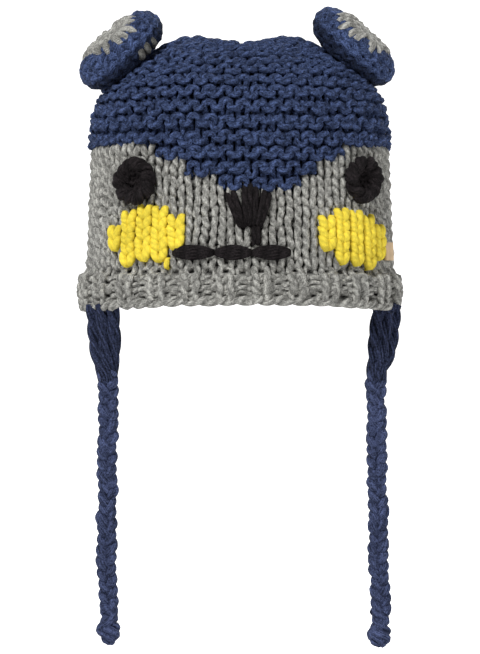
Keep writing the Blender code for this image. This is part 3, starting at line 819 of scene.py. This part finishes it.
class BEANIE_OT_face_band(bpy.types.Operator):
    """Knits the grey band of the face in plain rows, open where the peak comes down"""
    bl_idname = "beanie.face_band"
    bl_label = "Face band"

    def execute(self, context):
        sizes, colours = context.scene.beanie_sizes, context.scene.beanie_colours
        rng = np.random.default_rng(SEEDS["face_band"])
        style = plain_style(sizes)
        strands = []
        half = STITCHES_ROUND // 2
        for row in range(BAND_ROWS):
            level = band_level(row)
            open_columns = [c for c in range(-half, half) if in_peak(c + 0.5, level)]
            if open_columns:
                first, last = open_columns[-1] + 1, open_columns[0] + STITCHES_ROUND
                strands.append(knit_row(HAT, level, "knit", style, rng, first, last))
            else:
                strands.append(knit_row(HAT, level, "knit", style, rng))
        core = core_cells(
            "band_core", HAT, np.arange(0, STITCHES_ROUND + 1), np.arange(-8.0, 0.01, 0.5),
            lambda turn, level: not in_peak(turn, level),
        )
        # The core wall takes the second material, the grey wool with painted shade, for the shade in the
        # gaps
        mesh = joined(yarn_mesh("face_band_knit", strands, KNIT_SIDES, sizes.ply), core)
        wools = with_painted_shade("grey wool", colours.grey)
        finish("face_band_knit", mesh, wools, "grey_wool", "face_band")
        return {"FINISHED"}


class BEANIE_OT_crown(bpy.types.Operator):
    """Knits the navy crown and its stepped peak in garter ridges"""
    bl_idname = "beanie.crown"
    bl_label = "Crown"

    def execute(self, context):
        sizes, colours = context.scene.beanie_sizes, context.scene.beanie_colours
        rng = np.random.default_rng(SEEDS["crown"])
        style = garter_style(sizes)
        strands = []
        for ridge in range(-len(PEAK_STEPS), SEAM_RIDGE):
            for kind, offset in RIDGE_ROWS:
                level = ridge + offset
                if ridge < 0:
                    _, left, right = PEAK_STEPS[-ridge - 1]
                    strands.append(knit_row(HAT, level, kind, style, rng, -left, right))
                    continue
                share = HAT.girth(ridge + 0.5) / HAT.girth(0.0)
                stitches = 2 * round(STITCHES_ROUND * share / 2)
                strands.append(knit_row(HAT, level, kind, style, rng, stitches=stitches))
        dome = core_cells(
            "dome_core", HAT, np.arange(0, STITCHES_ROUND + 1), np.arange(0.0, SEAM_RIDGE + 0.01, 0.5),
            lambda turn, level: True,
        )
        peak = core_cells("peak_core", HAT, np.arange(-6, 7), np.arange(-3.0, 0.01, 1.0), in_peak)
        # The core walls take the second material, the navy wool with painted shade, for the shade in the
        # gaps
        mesh = joined(yarn_mesh("crown_knit", strands, KNIT_SIDES, sizes.ply), dome, peak)
        wools = with_painted_shade("navy wool", colours.navy, fleck=NAVY_FLECK)
        finish("crown_knit", mesh, wools, "navy_wool", "crown")
        return {"FINISHED"}


class BEANIE_OT_rib_brim(bpy.types.Operator):
    """Knits the ribbed brim, one knit stitch and one purl stitch in turn, and its edge"""
    bl_idname = "beanie.rib_brim"
    bl_label = "Ribbed brim"

    def execute(self, context):
        sizes, colours = context.scene.beanie_sizes, context.scene.beanie_colours
        rng = np.random.default_rng(SEEDS["rib_brim"])
        strands = [rib_row(row, sizes, rng) for row in range(BRIM_ROWS)]
        strands += edge_cord(sizes, rng)
        core = core_cells(
            "brim_core", BRIM, np.arange(0, STITCHES_ROUND + 1), np.linspace(0.10, 1.02, 8),
            lambda turn, level: True,
        )
        # The core wall takes the second material, the grey wool with painted shade, for the shade in the
        # gaps
        mesh = joined(yarn_mesh("rib_brim_knit", strands, KNIT_SIDES, sizes.ply), core)
        wools = with_painted_shade("grey wool", colours.grey)
        finish("rib_brim_knit", mesh, wools, "grey_wool", "rib_brim")
        return {"FINISHED"}


def rib_row(row, sizes, rng):
    """A row of rib: the knit columns stand out and the purl columns lie back."""
    level = BRIM_LOWEST_ROW + (1 - BRIM_LOWEST_ROW) * (row + 0.5) / BRIM_ROWS
    rise = 0.70 / BRIM_ROWS
    width = BRIM.girth(level) / STITCHES_ROUND
    phases = loop_phases(0.15, rise * BRIM_HEIGHT, width, 16)
    stitch = np.repeat(np.arange(STITCHES_ROUND), len(phases))
    phase = np.tile(phases, STITCHES_ROUND)
    along = stitch + phase / (2 * np.pi)
    uneven = 1.3 * sizes.uneven
    side = np.sin(np.pi * along)
    side = np.sign(side) * np.abs(side) ** 0.7 * (0.35 if row == BRIM_ROWS - 1 else 1.0)
    across = along + 0.15 * np.sin(2 * phase) + smooth_noise(rng, along, 0.4 * uneven, STITCHES_ROUND)
    across = across - 0.07 * np.sin(2 * np.pi * along)
    up = level - rise * (1 + smooth_noise(rng, along, uneven, STITCHES_ROUND)) * np.cos(phase)
    out = side * (0.0019 - 0.0017 * np.cos(2 * phase)) - 0.0034
    thick = sizes.yarn * (1 + smooth_noise(rng, along * 2, 0.5 * uneven, 2 * STITCHES_ROUND))
    thick = thick * (0.92 + 0.14 * side)
    return Strand(BRIM.place(drawn_in(across), up, out), thick, closed=True)


def edge_cord(sizes, rng):
    """The cast-on edge: two strands that twist round each other, a stitch from cross to cross."""
    count = 10 * STITCHES_ROUND
    turn = np.arange(count) * STITCHES_ROUND / count
    cords = []
    for offset in (0.0, np.pi):
        angle = np.pi * turn + offset + smooth_noise(rng, turn, 0.25, STITCHES_ROUND)
        radius = 0.0013
        up = 0.065 + 0.8 * radius / BRIM_HEIGHT * np.sin(angle)
        out = -0.0016 + 1.3 * radius * np.cos(angle)
        thick = sizes.yarn * (1 + smooth_noise(rng, turn, 0.05, STITCHES_ROUND))
        cords.append(Strand(BRIM.place(turn, up, out), thick, closed=True))
    return cords


# Embroidery on the band, placed by millimetres across and up

def face_place(across, up, out):
    """Points on the band's skin: metres across from the middle of the face, up from the brim's
    lowest edge, and out from the skin."""
    turn = np.asarray(across) / STITCH_WIDTH
    ridge = (np.asarray(up) - BAND_TOP) / RIDGE_PITCH
    return HAT.place(turn, ridge, out)


def stitch_strand(start, end, thickness, bulge, base=0.0006, points=9, bow=0.0):
    """A strand that dives into the knitting at both ends: (across, up) places in metres."""
    share = np.linspace(0.0, 1.0, points)
    start, end = np.array(start), np.array(end)
    line = start + (end - start) * share[:, None]
    aside = np.array([-(end - start)[1], (end - start)[0]])
    aside = aside / np.linalg.norm(aside) * bow
    arch = np.sin(np.pi * share)
    line = line + aside * arch[:, None]
    out = base + bulge * np.sqrt(arch) - 0.0035 * (1 - np.minimum(arch / 0.3, 1.0))
    thick = thickness * (0.55 + 0.45 * np.sqrt(arch))
    return Strand(face_place(line[:, 0], line[:, 1], out), thick)


class BEANIE_OT_cheeks(bpy.types.Operator):
    """Darns the two yellow cheeks over the plain rows, a stitch on each stitch"""
    bl_idname = "beanie.cheeks"
    bl_label = "Cheeks"

    def execute(self, context):
        sizes, colours = context.scene.beanie_sizes, context.scene.beanie_colours
        rng = np.random.default_rng(SEEDS["cheeks"])
        yellow = get_material("yellow wool", colours.yellow, fleck=0.07, depth=0.0005, groove=0.88)
        for side in ("left", "right"):
            strands = []
            for at, column, first, rows in CHEEK_COLUMNS:
                if at != side:
                    continue
                for row in range(rows):
                    strands += darned_stitch(column + 0.5, first + row, sizes.yarn, rng)
            if side == "left":
                low, high = ((turn * STITCH_WIDTH, up) for turn, up in STRAY_LEG)
                strands.append(stitch_strand(low, high, 0.8 * sizes.yarn, 0.0008))
            mesh = yarn_mesh(f"cheek_{side}_darning", strands, YARN_SIDES, sizes.ply)
            finish(f"cheek_{side}_darning", mesh, (yellow,), "yellow_wool", "cheek_" + side)
        return {"FINISHED"}


def darned_stitch(turn, row, yarn, rng):
    """Two legs of yellow yarn over the legs of one plain stitch."""
    middle = BAND_TOP + band_level(row) * RIDGE_PITCH
    centre = drawn_in(turn) * STITCH_WIDTH
    legs = []
    for side in (-1.0, 1.0):
        low, high = rng.normal(0.0, 0.0003, 2)
        start = centre + side * 0.06 * STITCH_WIDTH + low, middle - 0.72 * BAND_PITCH + low
        end = centre + side * 0.31 * STITCH_WIDTH + high, middle + 0.57 * BAND_PITCH + high
        thick = 1.24 * yarn * (1 + rng.normal(0.0, 0.05))
        bow = -side * 0.0003 + rng.normal(0.0, 0.0002)
        legs.append(stitch_strand(start, end, thick, 0.0012, base=-0.0002, points=11, bow=bow))
    return legs


# The eyes' rounds: radius, height of the round, radius of its twist, thickness, strands, twists
# of each strand and points
EYE_ROUNDS = (
    (0.0091, 0.0037, 0.0017, 0.0044, 2, 8, 180),
    (0.0062, 0.0026, 0.0010, 0.0032, 2, 5, 110),
    (0.0036, 0.0006, 0.0007, 0.0030, 1, 6, 80),
    (0.0012, 0.0002, 0.0004, 0.0026, 1, 3, 30),
)


class BEANIE_OT_eyes(bpy.types.Operator):
    """Crochets the two eyes: a raised ring round a lower middle"""
    bl_idname = "beanie.eyes"
    bl_label = "Eyes"

    def execute(self, context):
        sizes, colours = context.scene.beanie_sizes, context.scene.beanie_colours
        rng = np.random.default_rng(SEEDS["eyes"])
        black = get_material("black wool", colours.black, fleck=BLACK_FLECK)
        for side, turn, height in EYES:
            strands = []
            for radius, out, tube, thickness, strand_count, twists, count in EYE_ROUNDS:
                for strand in range(strand_count):
                    share = np.linspace(0.0, 1.0, count, endpoint=False)
                    angle = 2 * np.pi * share
                    twist = twists * angle + strand * 2 * np.pi / strand_count
                    twist = twist + smooth_noise(rng, share * 9, 0.50, 9)
                    wander = smooth_noise(rng, share * 11, 0.0004, 11)
                    reach = radius + tube * np.cos(twist) + wander
                    lift = out + tube * np.sin(twist) + wander
                    across = turn * STITCH_WIDTH + reach * np.cos(angle)
                    points = face_place(across, height + reach * np.sin(angle), lift)
                    thick = thickness * (1 + smooth_noise(rng, share * 14, 0.10, 14))
                    strands.append(Strand(points, thick, closed=True))
            mesh = yarn_mesh(f"eye_{side}_crochet", strands, YARN_SIDES, sizes.ply)
            finish(f"eye_{side}_crochet", mesh, (black,), "black_wool", "eye_" + side)
        return {"FINISHED"}


class BEANIE_OT_nose_and_mouth(bpy.types.Operator):
    """Stitches the nose, its stem and the three parts of the mouth in black wool"""
    bl_idname = "beanie.nose_and_mouth"
    bl_label = "Nose and mouth"

    def execute(self, context):
        colours = context.scene.beanie_colours
        rng = np.random.default_rng(SEEDS["nose"])
        black = get_material("black wool", colours.black, fleck=BLACK_FLECK)
        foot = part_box("nose")[0].z
        strands = []
        for layer, (thickness, bulge) in enumerate(((0.0040, 0.0009), (0.0032, 0.0022))):
            for top, height, low in NOSE_STRANDS[layer:len(NOSE_STRANDS) - layer]:
                shift = rng.normal(0.0, 0.25, 2)
                start = (low + shift[0]) / 1000, foot + 0.0004
                end = (top + shift[1]) / 1000, foot + height / 1000
                strands.append(stitch_strand(start, end, thickness, bulge, points=11))
        self.add("nose_stitches", strands, black, "nose")
        strands = []
        for across in STEM_STRANDS:
            start, end = (across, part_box("nose_stem")[0].z - 0.001), (across, foot + 0.0015)
            strands.append(stitch_strand(start, end, 0.0030, 0.0008))
        self.add("nose_stem_stitch", strands, black, "nose_stem")
        for name, start, end in MOUTH_PARTS:
            low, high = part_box(name)[0].z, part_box(name)[1].z
            strands = []
            for lane in MOUTH_LANES:
                bow = lane * ((high - low) / 2 - MOUTH_THICKNESS / 2)
                up = (low + high) / 2 + 0.25 * bow
                ends = (start / 1000, up), (end / 1000, up)
                bulge = 0.0016 - 0.0010 * lane**2
                strands.append(stitch_strand(*ends, MOUTH_THICKNESS, bulge, points=15, bow=bow))
            self.add(name + "_stitches", strands, black, name)
        return {"FINISHED"}

    def add(self, name, strands, black, node):
        """Makes one embroidered piece of its strands."""
        finish(name, yarn_mesh(name, strands, YARN_SIDES, SATIN_PLY), (black,), "black_wool", node)


class BEANIE_OT_side_tab(bpy.types.Operator):
    """Cuts the small bare tan tab on the side of the band"""
    bl_idname = "beanie.side_tab"
    bl_label = "Side tab"

    def execute(self, context):
        low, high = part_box("side_tab")
        bm = bmesh.new()
        bmesh.ops.create_grid(bm, x_segments=12, y_segments=8, size=0.5)
        corners = np.array([v.co[:] for v in bm.verts])
        across = TAB_TURN * STITCH_WIDTH + corners[:, 0] * TAB_WIDTH
        up = (low.z + high.z) / 2 + corners[:, 1] * (high.z - low.z)
        move_to(bm, face_place(across, up, np.full(len(corners), TAB_OUT)))
        bmesh.ops.recalc_face_normals(bm, faces=bm.faces)
        bmesh.ops.solidify(bm, geom=bm.faces[:], thickness=-TAB_THICKNESS)
        bmesh.ops.recalc_face_normals(bm, faces=bm.faces)
        mesh = smooth_mesh("side_tab_leather", bm)
        mesh.set_sharp_from_angle(angle=0.9)
        tan = leather("tan leather", context.scene.beanie_colours.tan)
        finish("side_tab_leather", mesh, (tan,), "tan_tab", "side_tab")
        return {"FINISHED"}


def leather(name, colour):
    """Bare leather: a fine pebbled grain and a little wear in its colour."""
    nodes = Nodes(name)
    place = nodes.add("ShaderNodeTexCoord").outputs["Object"]
    grain = nodes.add("ShaderNodeTexVoronoi", {"Vector": place, "Scale": 1500.0}).outputs[0]
    wear = nodes.noise(place, 250.0, 3.0)
    colours = nodes.mix(wear, shade(colour, 0.75), shade(colour, 1.25))
    nodes.tree.links.new(colours, nodes.shader.inputs["Base Color"])
    nodes.relief(grain, 0.5, 0.0002)
    nodes.shader.inputs["Roughness"].default_value = 0.6
    return nodes.material


# Ears: crocheted in rounds on a thick round form that is turned about the ear's own axis

# The form's section from the middle of the outer face to the middle of the face on the crown:
# radius and height along the axis
EAR_SECTION = (
    (0.0, 0.0108), (0.0060, 0.0106), (0.0115, 0.0099), (0.0170, 0.0092), (0.0215, 0.0078),
    (0.0250, 0.0050), (0.0268, 0.0005), (0.0256, -0.0045), (0.0225, -0.0080), (0.0175, -0.0098),
    (0.0120, -0.0107), (0.0060, -0.0112), (0.0, -0.0114),
)

# The rounds of crochet: colour, start and end as shares of the section, stitches, thickness. The dark
# ones take the navy wool with painted shade, for the shade where they face the crown
EAR_ROUNDS = (
    ("grey", 0.005, 0.105, 6, 0.0044),
    ("grey", 0.085, 0.210, 10, 0.0048),
    ("navy", 0.195, 0.310, 14, 0.0046),
    ("navy", 0.290, 0.395, 17, 0.0046),
    ("navy", 0.375, 0.480, 19, 0.0046),
    ("navy", 0.460, 0.535, 20, 0.0044),
    ("dark", 0.515, 0.620, 20, 0.0046),
    ("dark", 0.600, 0.720, 17, 0.0046),
    ("dark", 0.700, 0.835, 13, 0.0046),
    ("grey", 0.815, 0.995, 7, 0.0044),
)

# The grey stitches over the rim: how many, and the shares of the section where they start and
# where the shortest ends. On the left ear a few low ones show at these angles and shares
SPOKES = 22
SPOKE_START = 0.17
SPOKE_END = 0.215
LOW_SPOKES = (0.02, 0.20, 0.38)
LOW_SPOKE_ENDS = (0.55, 0.66)

# The ear's stuffed form: how far below its stitches' skin, and how close its points are merged
EAR_CORE_SINK = 0.0028
EAR_MERGE_DISTANCE = 0.00005


def ear_frame(side, lean, facing, pressed):
    """The ear's middle and turn, pressed a little into the crown's stitches."""
    low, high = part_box("ear_" + side)
    sign = -1.0 if side == "left" else 1.0
    angle = np.radians(lean)
    axis = Vector((sign * np.sin(angle), -facing, np.cos(angle))).normalized()
    turn = axis.to_track_quat("Z", "Y").to_matrix().to_4x4()
    return np.array(Matrix.Translation((low + high) / 2 - axis * pressed) @ turn)


def ear_points(radius, angle, height, placed):
    """Points of the ear in the world, from their places round its axis."""
    points = np.stack(
        (radius * np.cos(angle), radius * np.sin(angle), height, np.ones_like(radius)), axis=1
    )
    return (points @ placed.T)[:, :3]


def on_section(share, sink):
    """Radius and height at a share of the section, so far below its skin."""
    section = np.array(EAR_SECTION)
    along = np.concatenate(([0.0], np.cumsum(np.linalg.norm(np.diff(section, axis=0), axis=1))))
    along /= along[-1]
    radius, height = (np.interp(share, along, section[:, axis]) for axis in (0, 1))
    ahead, behind = np.minimum(share + 0.01, 1.0), np.maximum(share - 0.01, 0.0)
    slope = np.stack(
        [np.interp(ahead, along, section[:, axis]) - np.interp(behind, along, section[:, axis])
         for axis in (0, 1)], axis=1
    )
    slope /= np.linalg.norm(slope, axis=1, keepdims=True)
    return np.maximum(radius + slope[:, 1] * sink, 0.0), height - slope[:, 0] * sink


def ear_round(start, end, stitches, thickness, placed, rng):
    """One round: a strand that goes out and back between two rings of the section."""
    count = 14 * stitches
    phase = np.arange(count) / 14
    angle = 2 * np.pi * phase / stitches + rng.uniform(0, 2 * np.pi)
    wave = np.sin(2 * np.pi * phase)
    wave = np.sign(wave) * np.abs(wave) ** 0.8
    middle = (start + end) / 2 + smooth_noise(rng, phase * 2, 0.08 * (end - start), 2 * stitches)
    share = np.clip(middle + (end - start) / 2 * 0.92 * wave, 0.002, 0.998)
    angle = angle + 0.22 * 2 * np.pi / stitches * np.sin(4 * np.pi * phase)
    sink = thickness / 2 + 0.0006 - 0.0016 * np.abs(np.cos(2 * np.pi * phase))
    radius, height = on_section(share, sink)
    thick = thickness * (1 + smooth_noise(rng, phase * 2, 0.08, 2 * stitches))
    return Strand(ear_points(radius, angle, height, placed), thick, closed=True)


def ear_spoke(angle, first, last, placed, rng):
    """A grey stitch that reaches out over the rim."""
    along = np.linspace(0.0, 1.0, 9)
    share = first + (last - first) * along
    radius, height = on_section(share, 0.0014 - 0.0016 * np.sin(np.pi * along) + 0.0030 * along**6)
    angle = angle + rng.normal(0.0, 0.08) * along
    return Strand(ear_points(radius, angle, height, placed), 0.0046 * (1 - 0.3 * along**3))


def ear_spokes(reach, placed, rng):
    """Grey stitches over the rim, furthest at the ear's front and back."""
    strands = []
    for spoke in range(SPOKES):
        angle = 2 * np.pi * spoke / SPOKES + rng.normal(0.0, 0.05)
        end = SPOKE_END + reach * abs(np.cos(angle)) ** 1.5 + rng.uniform(-0.02, 0.05)
        strands.append(ear_spoke(angle, SPOKE_START, end, placed, rng))
    return strands


def ear_core(name, placed):
    """The ear's stuffed form, close below its stitches."""
    radius, height = on_section(np.linspace(0.0, 1.0, 31), np.full(31, EAR_CORE_SINK))
    radius[0] = radius[-1] = 0.0
    bm = bmesh.new()
    verts = [bm.verts.new((r, 0.0, h)) for r, h in zip(radius, height)]
    edges = [bm.edges.new(pair) for pair in zip(verts, verts[1:])]
    bmesh.ops.spin(
        bm, geom=verts + edges, cent=(0, 0, 0), axis=(0, 0, 1), angle=2 * np.pi, steps=40, use_merge=True
    )
    bmesh.ops.remove_doubles(bm, verts=bm.verts, dist=EAR_MERGE_DISTANCE)
    flat = np.array([v.co[:] for v in bm.verts])
    x, y, up = flat[:, 0], flat[:, 1], flat[:, 2]
    move_to(bm, ear_points(np.hypot(x, y), np.arctan2(y, x), up, placed))
    bmesh.ops.recalc_face_normals(bm, faces=bm.faces)
    return smooth_mesh(name, bm, "yarn")


class BEANIE_OT_ears(bpy.types.Operator):
    """Crochets the two ears, a grey middle on both faces and a thick navy rim"""
    bl_idname = "beanie.ears"
    bl_label = "Ears"

    def execute(self, context):
        sizes, colours = context.scene.beanie_sizes, context.scene.beanie_colours
        for side, lean, facing, pressed, reach, seed in EARS:
            rng = np.random.default_rng(seed)
            placed = ear_frame(side, lean, facing, pressed)
            strands = {"navy": [], "dark": [], "grey": ear_spokes(reach, placed, rng)}
            for colour, start, end, stitches, thickness in EAR_ROUNDS:
                strands[colour].append(ear_round(start, end, stitches, thickness, placed, rng))
            rim = yarn_mesh(f"ear_{side}_rim", strands["navy"], YARN_SIDES, sizes.ply)
            # The back's dark rounds and the stuffed form take the navy wool with painted shade, for the
            # shade where the ear faces the crown
            back = yarn_mesh("ear_back", strands["dark"], YARN_SIDES, sizes.ply)
            rim = joined(rim, back, ear_core("ear_core", placed))
            wools = with_painted_shade("navy wool", colours.navy, fleck=NAVY_FLECK)
            finish(f"ear_{side}_rim", rim, wools, "navy_wool", "ear_" + side)
            middle = yarn_mesh(f"ear_{side}_middle", strands["grey"], YARN_SIDES, sizes.ply)
            # On the left ear a few low grey stitches take the grey wool with painted shade, for the
            # ear's own shadow
            if side == "left":
                low = [ear_spoke(angle, *LOW_SPOKE_ENDS, placed, rng) for angle in LOW_SPOKES]
                middle = joined(middle, yarn_mesh("ear_low", low, YARN_SIDES, sizes.ply))
            wools = with_painted_shade("grey wool", colours.grey)
            finish(f"ear_{side}_middle", middle, wools, "grey_wool", "ear_centre_" + side)
        return {"FINISHED"}


# Ties

def smooth_route(points, count):
    """Evenly spaced points on a smooth curve through the route's own points."""
    knots = [Vector(p) for p in points]
    ends = [2 * knots[0] - knots[1]] + knots + [2 * knots[-1] - knots[-2]]
    dense = []
    for before, start, end, after in zip(ends, ends[1:], ends[2:], ends[3:]):
        for step in range(10):
            t = step / 10
            dense.append(0.5 * (
                2 * start + (end - before) * t
                + (2 * before - 5 * start + 4 * end - after) * t**2
                + (3 * start - before - 3 * end + after) * t**3
            ))
    dense = np.array([p[:] for p in dense + [knots[-1]]])
    along = np.concatenate(([0.0], np.cumsum(np.linalg.norm(np.diff(dense, axis=0), axis=1))))
    wanted = np.linspace(0.0, along[-1], count)
    return np.stack([np.interp(wanted, along, dense[:, axis]) for axis in range(3)], axis=1), along[-1]


def braid_strands(line, length, width, rng):
    """Three strands plaited along a line that hangs nearly straight down."""
    share = np.linspace(0.0, length / BRAID_LAY, len(line))
    strands = []
    for strand in range(3):
        turn = 2 * np.pi * (share + strand / 3)
        aside = 0.28 * width * np.sin(turn) + smooth_noise(rng, share * 2, 0.0004)
        front = 0.20 * width * np.sin(2 * turn) + smooth_noise(rng, share * 2, 0.0004)
        thick = 0.52 * width * (1 + smooth_noise(rng, share * 3, 0.12) - 0.12 * np.cos(2 * turn))
        strands.append(Strand(line + np.stack((aside, front, 0 * aside), axis=1), thick))
    return strands


class BEANIE_OT_ties(bpy.types.Operator):
    """Gathers yarn under the brim, plaits it and knots its end, on both sides"""
    bl_idname = "beanie.ties"
    bl_label = "Ties"

    def execute(self, context):
        sizes, colours = context.scene.beanie_sizes, context.scene.beanie_colours
        navy = get_material("tie wool", colours.tie, plies=3, fleck=0.45, depth=0.0010, groove=0.72)
        # The gathered yarn is the tie's wool darkened: painted shade for the shadow under the brim
        deep = tuple(ROOT_SHADE_SHARE * channel for channel in colours.tie)
        gathered = get_material("gathered wool", deep, plies=5, fleck=0.55, depth=0.0012)
        for side, sign, seed in TIES:
            rng = np.random.default_rng(seed)
            line, length = smooth_route(TIE_ROUTES[side], BRAID_POINTS)
            strands = root_strands(side, sign, rng)
            root = yarn_mesh(f"tie_root_{side}_yarn", strands, YARN_SIDES, TIE_PLY)
            finish(f"tie_root_{side}_yarn", root, (gathered,), "navy_wool", "tie_root_" + side)
            knot = yarn_mesh(f"tie_knot_{side}_yarn", knot_strands(side, rng), YARN_SIDES, TIE_PLY)
            knot = finish(f"tie_knot_{side}_yarn", knot, (navy,), "navy_wool", "tie_knot_" + side)
            strands = braid_strands(line, length, sizes.tie, rng)
            braid = yarn_mesh(f"tie_{side}_braid", strands, YARN_SIDES, TIE_PLY)
            braid = finish(f"tie_{side}_braid", braid, (navy,), "navy_wool", "tie_" + side)
        return {"FINISHED"}


# How a root's ropes draw together from the rim to the braid, and the ropes: each one's place
# across and how far back it lies
ROOT_EASE = ((0.0, 0.0), (0.3, 0.20), (0.55, 0.34), (0.72, 0.48), (0.86, 0.92), (1.0, 1.0))
ROOT_ROPES = ((-1.0, 0.0010), (0.0, 0.0022), (1.0, 0.0010), (-0.40, -0.0022), (0.45, -0.0034))


def root_strands(side, sign, rng):
    """Twisted ropes of yarn that come down from the rim and draw together above the braid."""
    foot = np.array(TIE_ROUTES[side][0])
    ease_table = np.array(ROOT_EASE)
    share = np.linspace(0.0, 1.0, 26)
    ease = np.interp(share, ease_table[:, 0], ease_table[:, 1])
    ease = np.convolve(np.pad(ease, 2, mode="edge"), np.ones(5) / 5, mode="valid")
    strands = []
    for lane, layer in ROOT_ROPES:
        top = BRIM.place(sign * (TIE_TURN + lane), 0.12, -0.0036 - layer)[0]
        low = foot + np.array((sign * 0.0028 * lane, layer, -0.005))
        line = top + (low - top) * np.stack((ease, ease, share), axis=1)
        line[:, 0] += sign * lane * 0.0012 * np.sin(np.pi * share) ** 2
        turns = rng.uniform(0.9, 1.3)
        for ply in range(3):
            twist = 2 * np.pi * (turns * share + ply / 3) + lane
            radius = 0.0020 * (1 - 0.45 * share**4)
            around = np.stack((radius * np.cos(twist), radius * np.sin(twist), 0 * twist), axis=1)
            thick = 0.0040 * (1 + smooth_noise(rng, share * 6, 0.08)) * (1 - 0.25 * share**4)
            strands.append(Strand(line + around, thick))
    return strands


# A knot's form: share of its length from the top, and radius. Its windings: turns, way round and
# how far they stand out
KNOT_FORM = (
    (0.0, 0.0042), (0.15, 0.0046), (0.40, 0.0056), (0.70, 0.0062), (0.88, 0.0052), (1.0, 0.0026),
)
KNOT_WINDINGS = ((1.3, 1.0, 0.0), (1.3, 1.0, 0.0), (1.3, 1.0, 0.0), (0.9, -1.0, 0.0006))
KNOT_LENGTH = 0.0178


def knot_strands(side, rng):
    """A knot drawn tight: strands that wind round a lumpy form with a blunt end."""
    top = np.array(TIE_ROUTES[side][-1])
    form = np.array(KNOT_FORM)
    share = np.linspace(-0.12, 1.0, 40)
    taper = 1 - 0.35 * np.clip(share, 0, 1) ** 4
    strands = []
    for turns, sign, lift in KNOT_WINDINGS:
        start = 2 * np.pi * len(strands) / 3 + rng.normal(0.0, 0.2)
        angle = start + sign * 2 * np.pi * turns * share
        thick = 0.0050 * (1 + smooth_noise(rng, share * 8, 0.12)) * taper
        radius = np.interp(share, form[:, 0], form[:, 1]) - 0.0022 + lift
        radius = np.maximum(radius + smooth_noise(rng, share * 7, 0.0005), 0.0002)
        line = np.stack((radius * np.cos(angle), radius * np.sin(angle), -KNOT_LENGTH * share), axis=1)
        strands.append(Strand(top + line, thick))
    return strands


class BEANIE_PT_panel(bpy.types.Panel):
    """Lists the hat's sizes, colours and pieces"""
    bl_idname = "BEANIE_PT_panel"
    bl_label = "Beanie"
    bl_space_type = "VIEW_3D"
    bl_region_type = "UI"
    bl_category = "Beanie"

    def draw(self, context):
        for group in (context.scene.beanie_sizes, context.scene.beanie_colours):
            for key in group.bl_rna.properties.keys():
                if key not in ("rna_type", "name"):
                    self.layout.prop(group, key)
        for operator in OPERATORS:
            self.layout.operator(operator.bl_idname)


OPERATORS = (
    BEANIE_OT_stage, BEANIE_OT_face_band, BEANIE_OT_crown, BEANIE_OT_rib_brim, BEANIE_OT_cheeks,
    BEANIE_OT_eyes, BEANIE_OT_nose_and_mouth, BEANIE_OT_side_tab, BEANIE_OT_ears, BEANIE_OT_ties,
)
CLASSES = (BeanieSizes, BeanieColours) + OPERATORS + (BEANIE_PT_panel,)


def register():
    for cls in CLASSES:
        bpy.utils.register_class(cls)
    bpy.types.Scene.beanie_sizes = bpy.props.PointerProperty(type=BeanieSizes)
    bpy.types.Scene.beanie_colours = bpy.props.PointerProperty(type=BeanieColours)


def unregister():
    del bpy.types.Scene.beanie_colours
    del bpy.types.Scene.beanie_sizes
    for cls in reversed(CLASSES):
        bpy.utils.unregister_class(cls)


def main():
    register()
    bpy.ops.beanie.stage()
    bpy.ops.beanie.face_band()
    bpy.ops.beanie.crown()
    bpy.ops.beanie.rib_brim()
    bpy.ops.beanie.cheeks()
    bpy.ops.beanie.eyes()
    bpy.ops.beanie.nose_and_mouth()
    bpy.ops.beanie.side_tab()
    bpy.ops.beanie.ears()
    bpy.ops.beanie.ties()


if __name__ == "__main__":
    main()
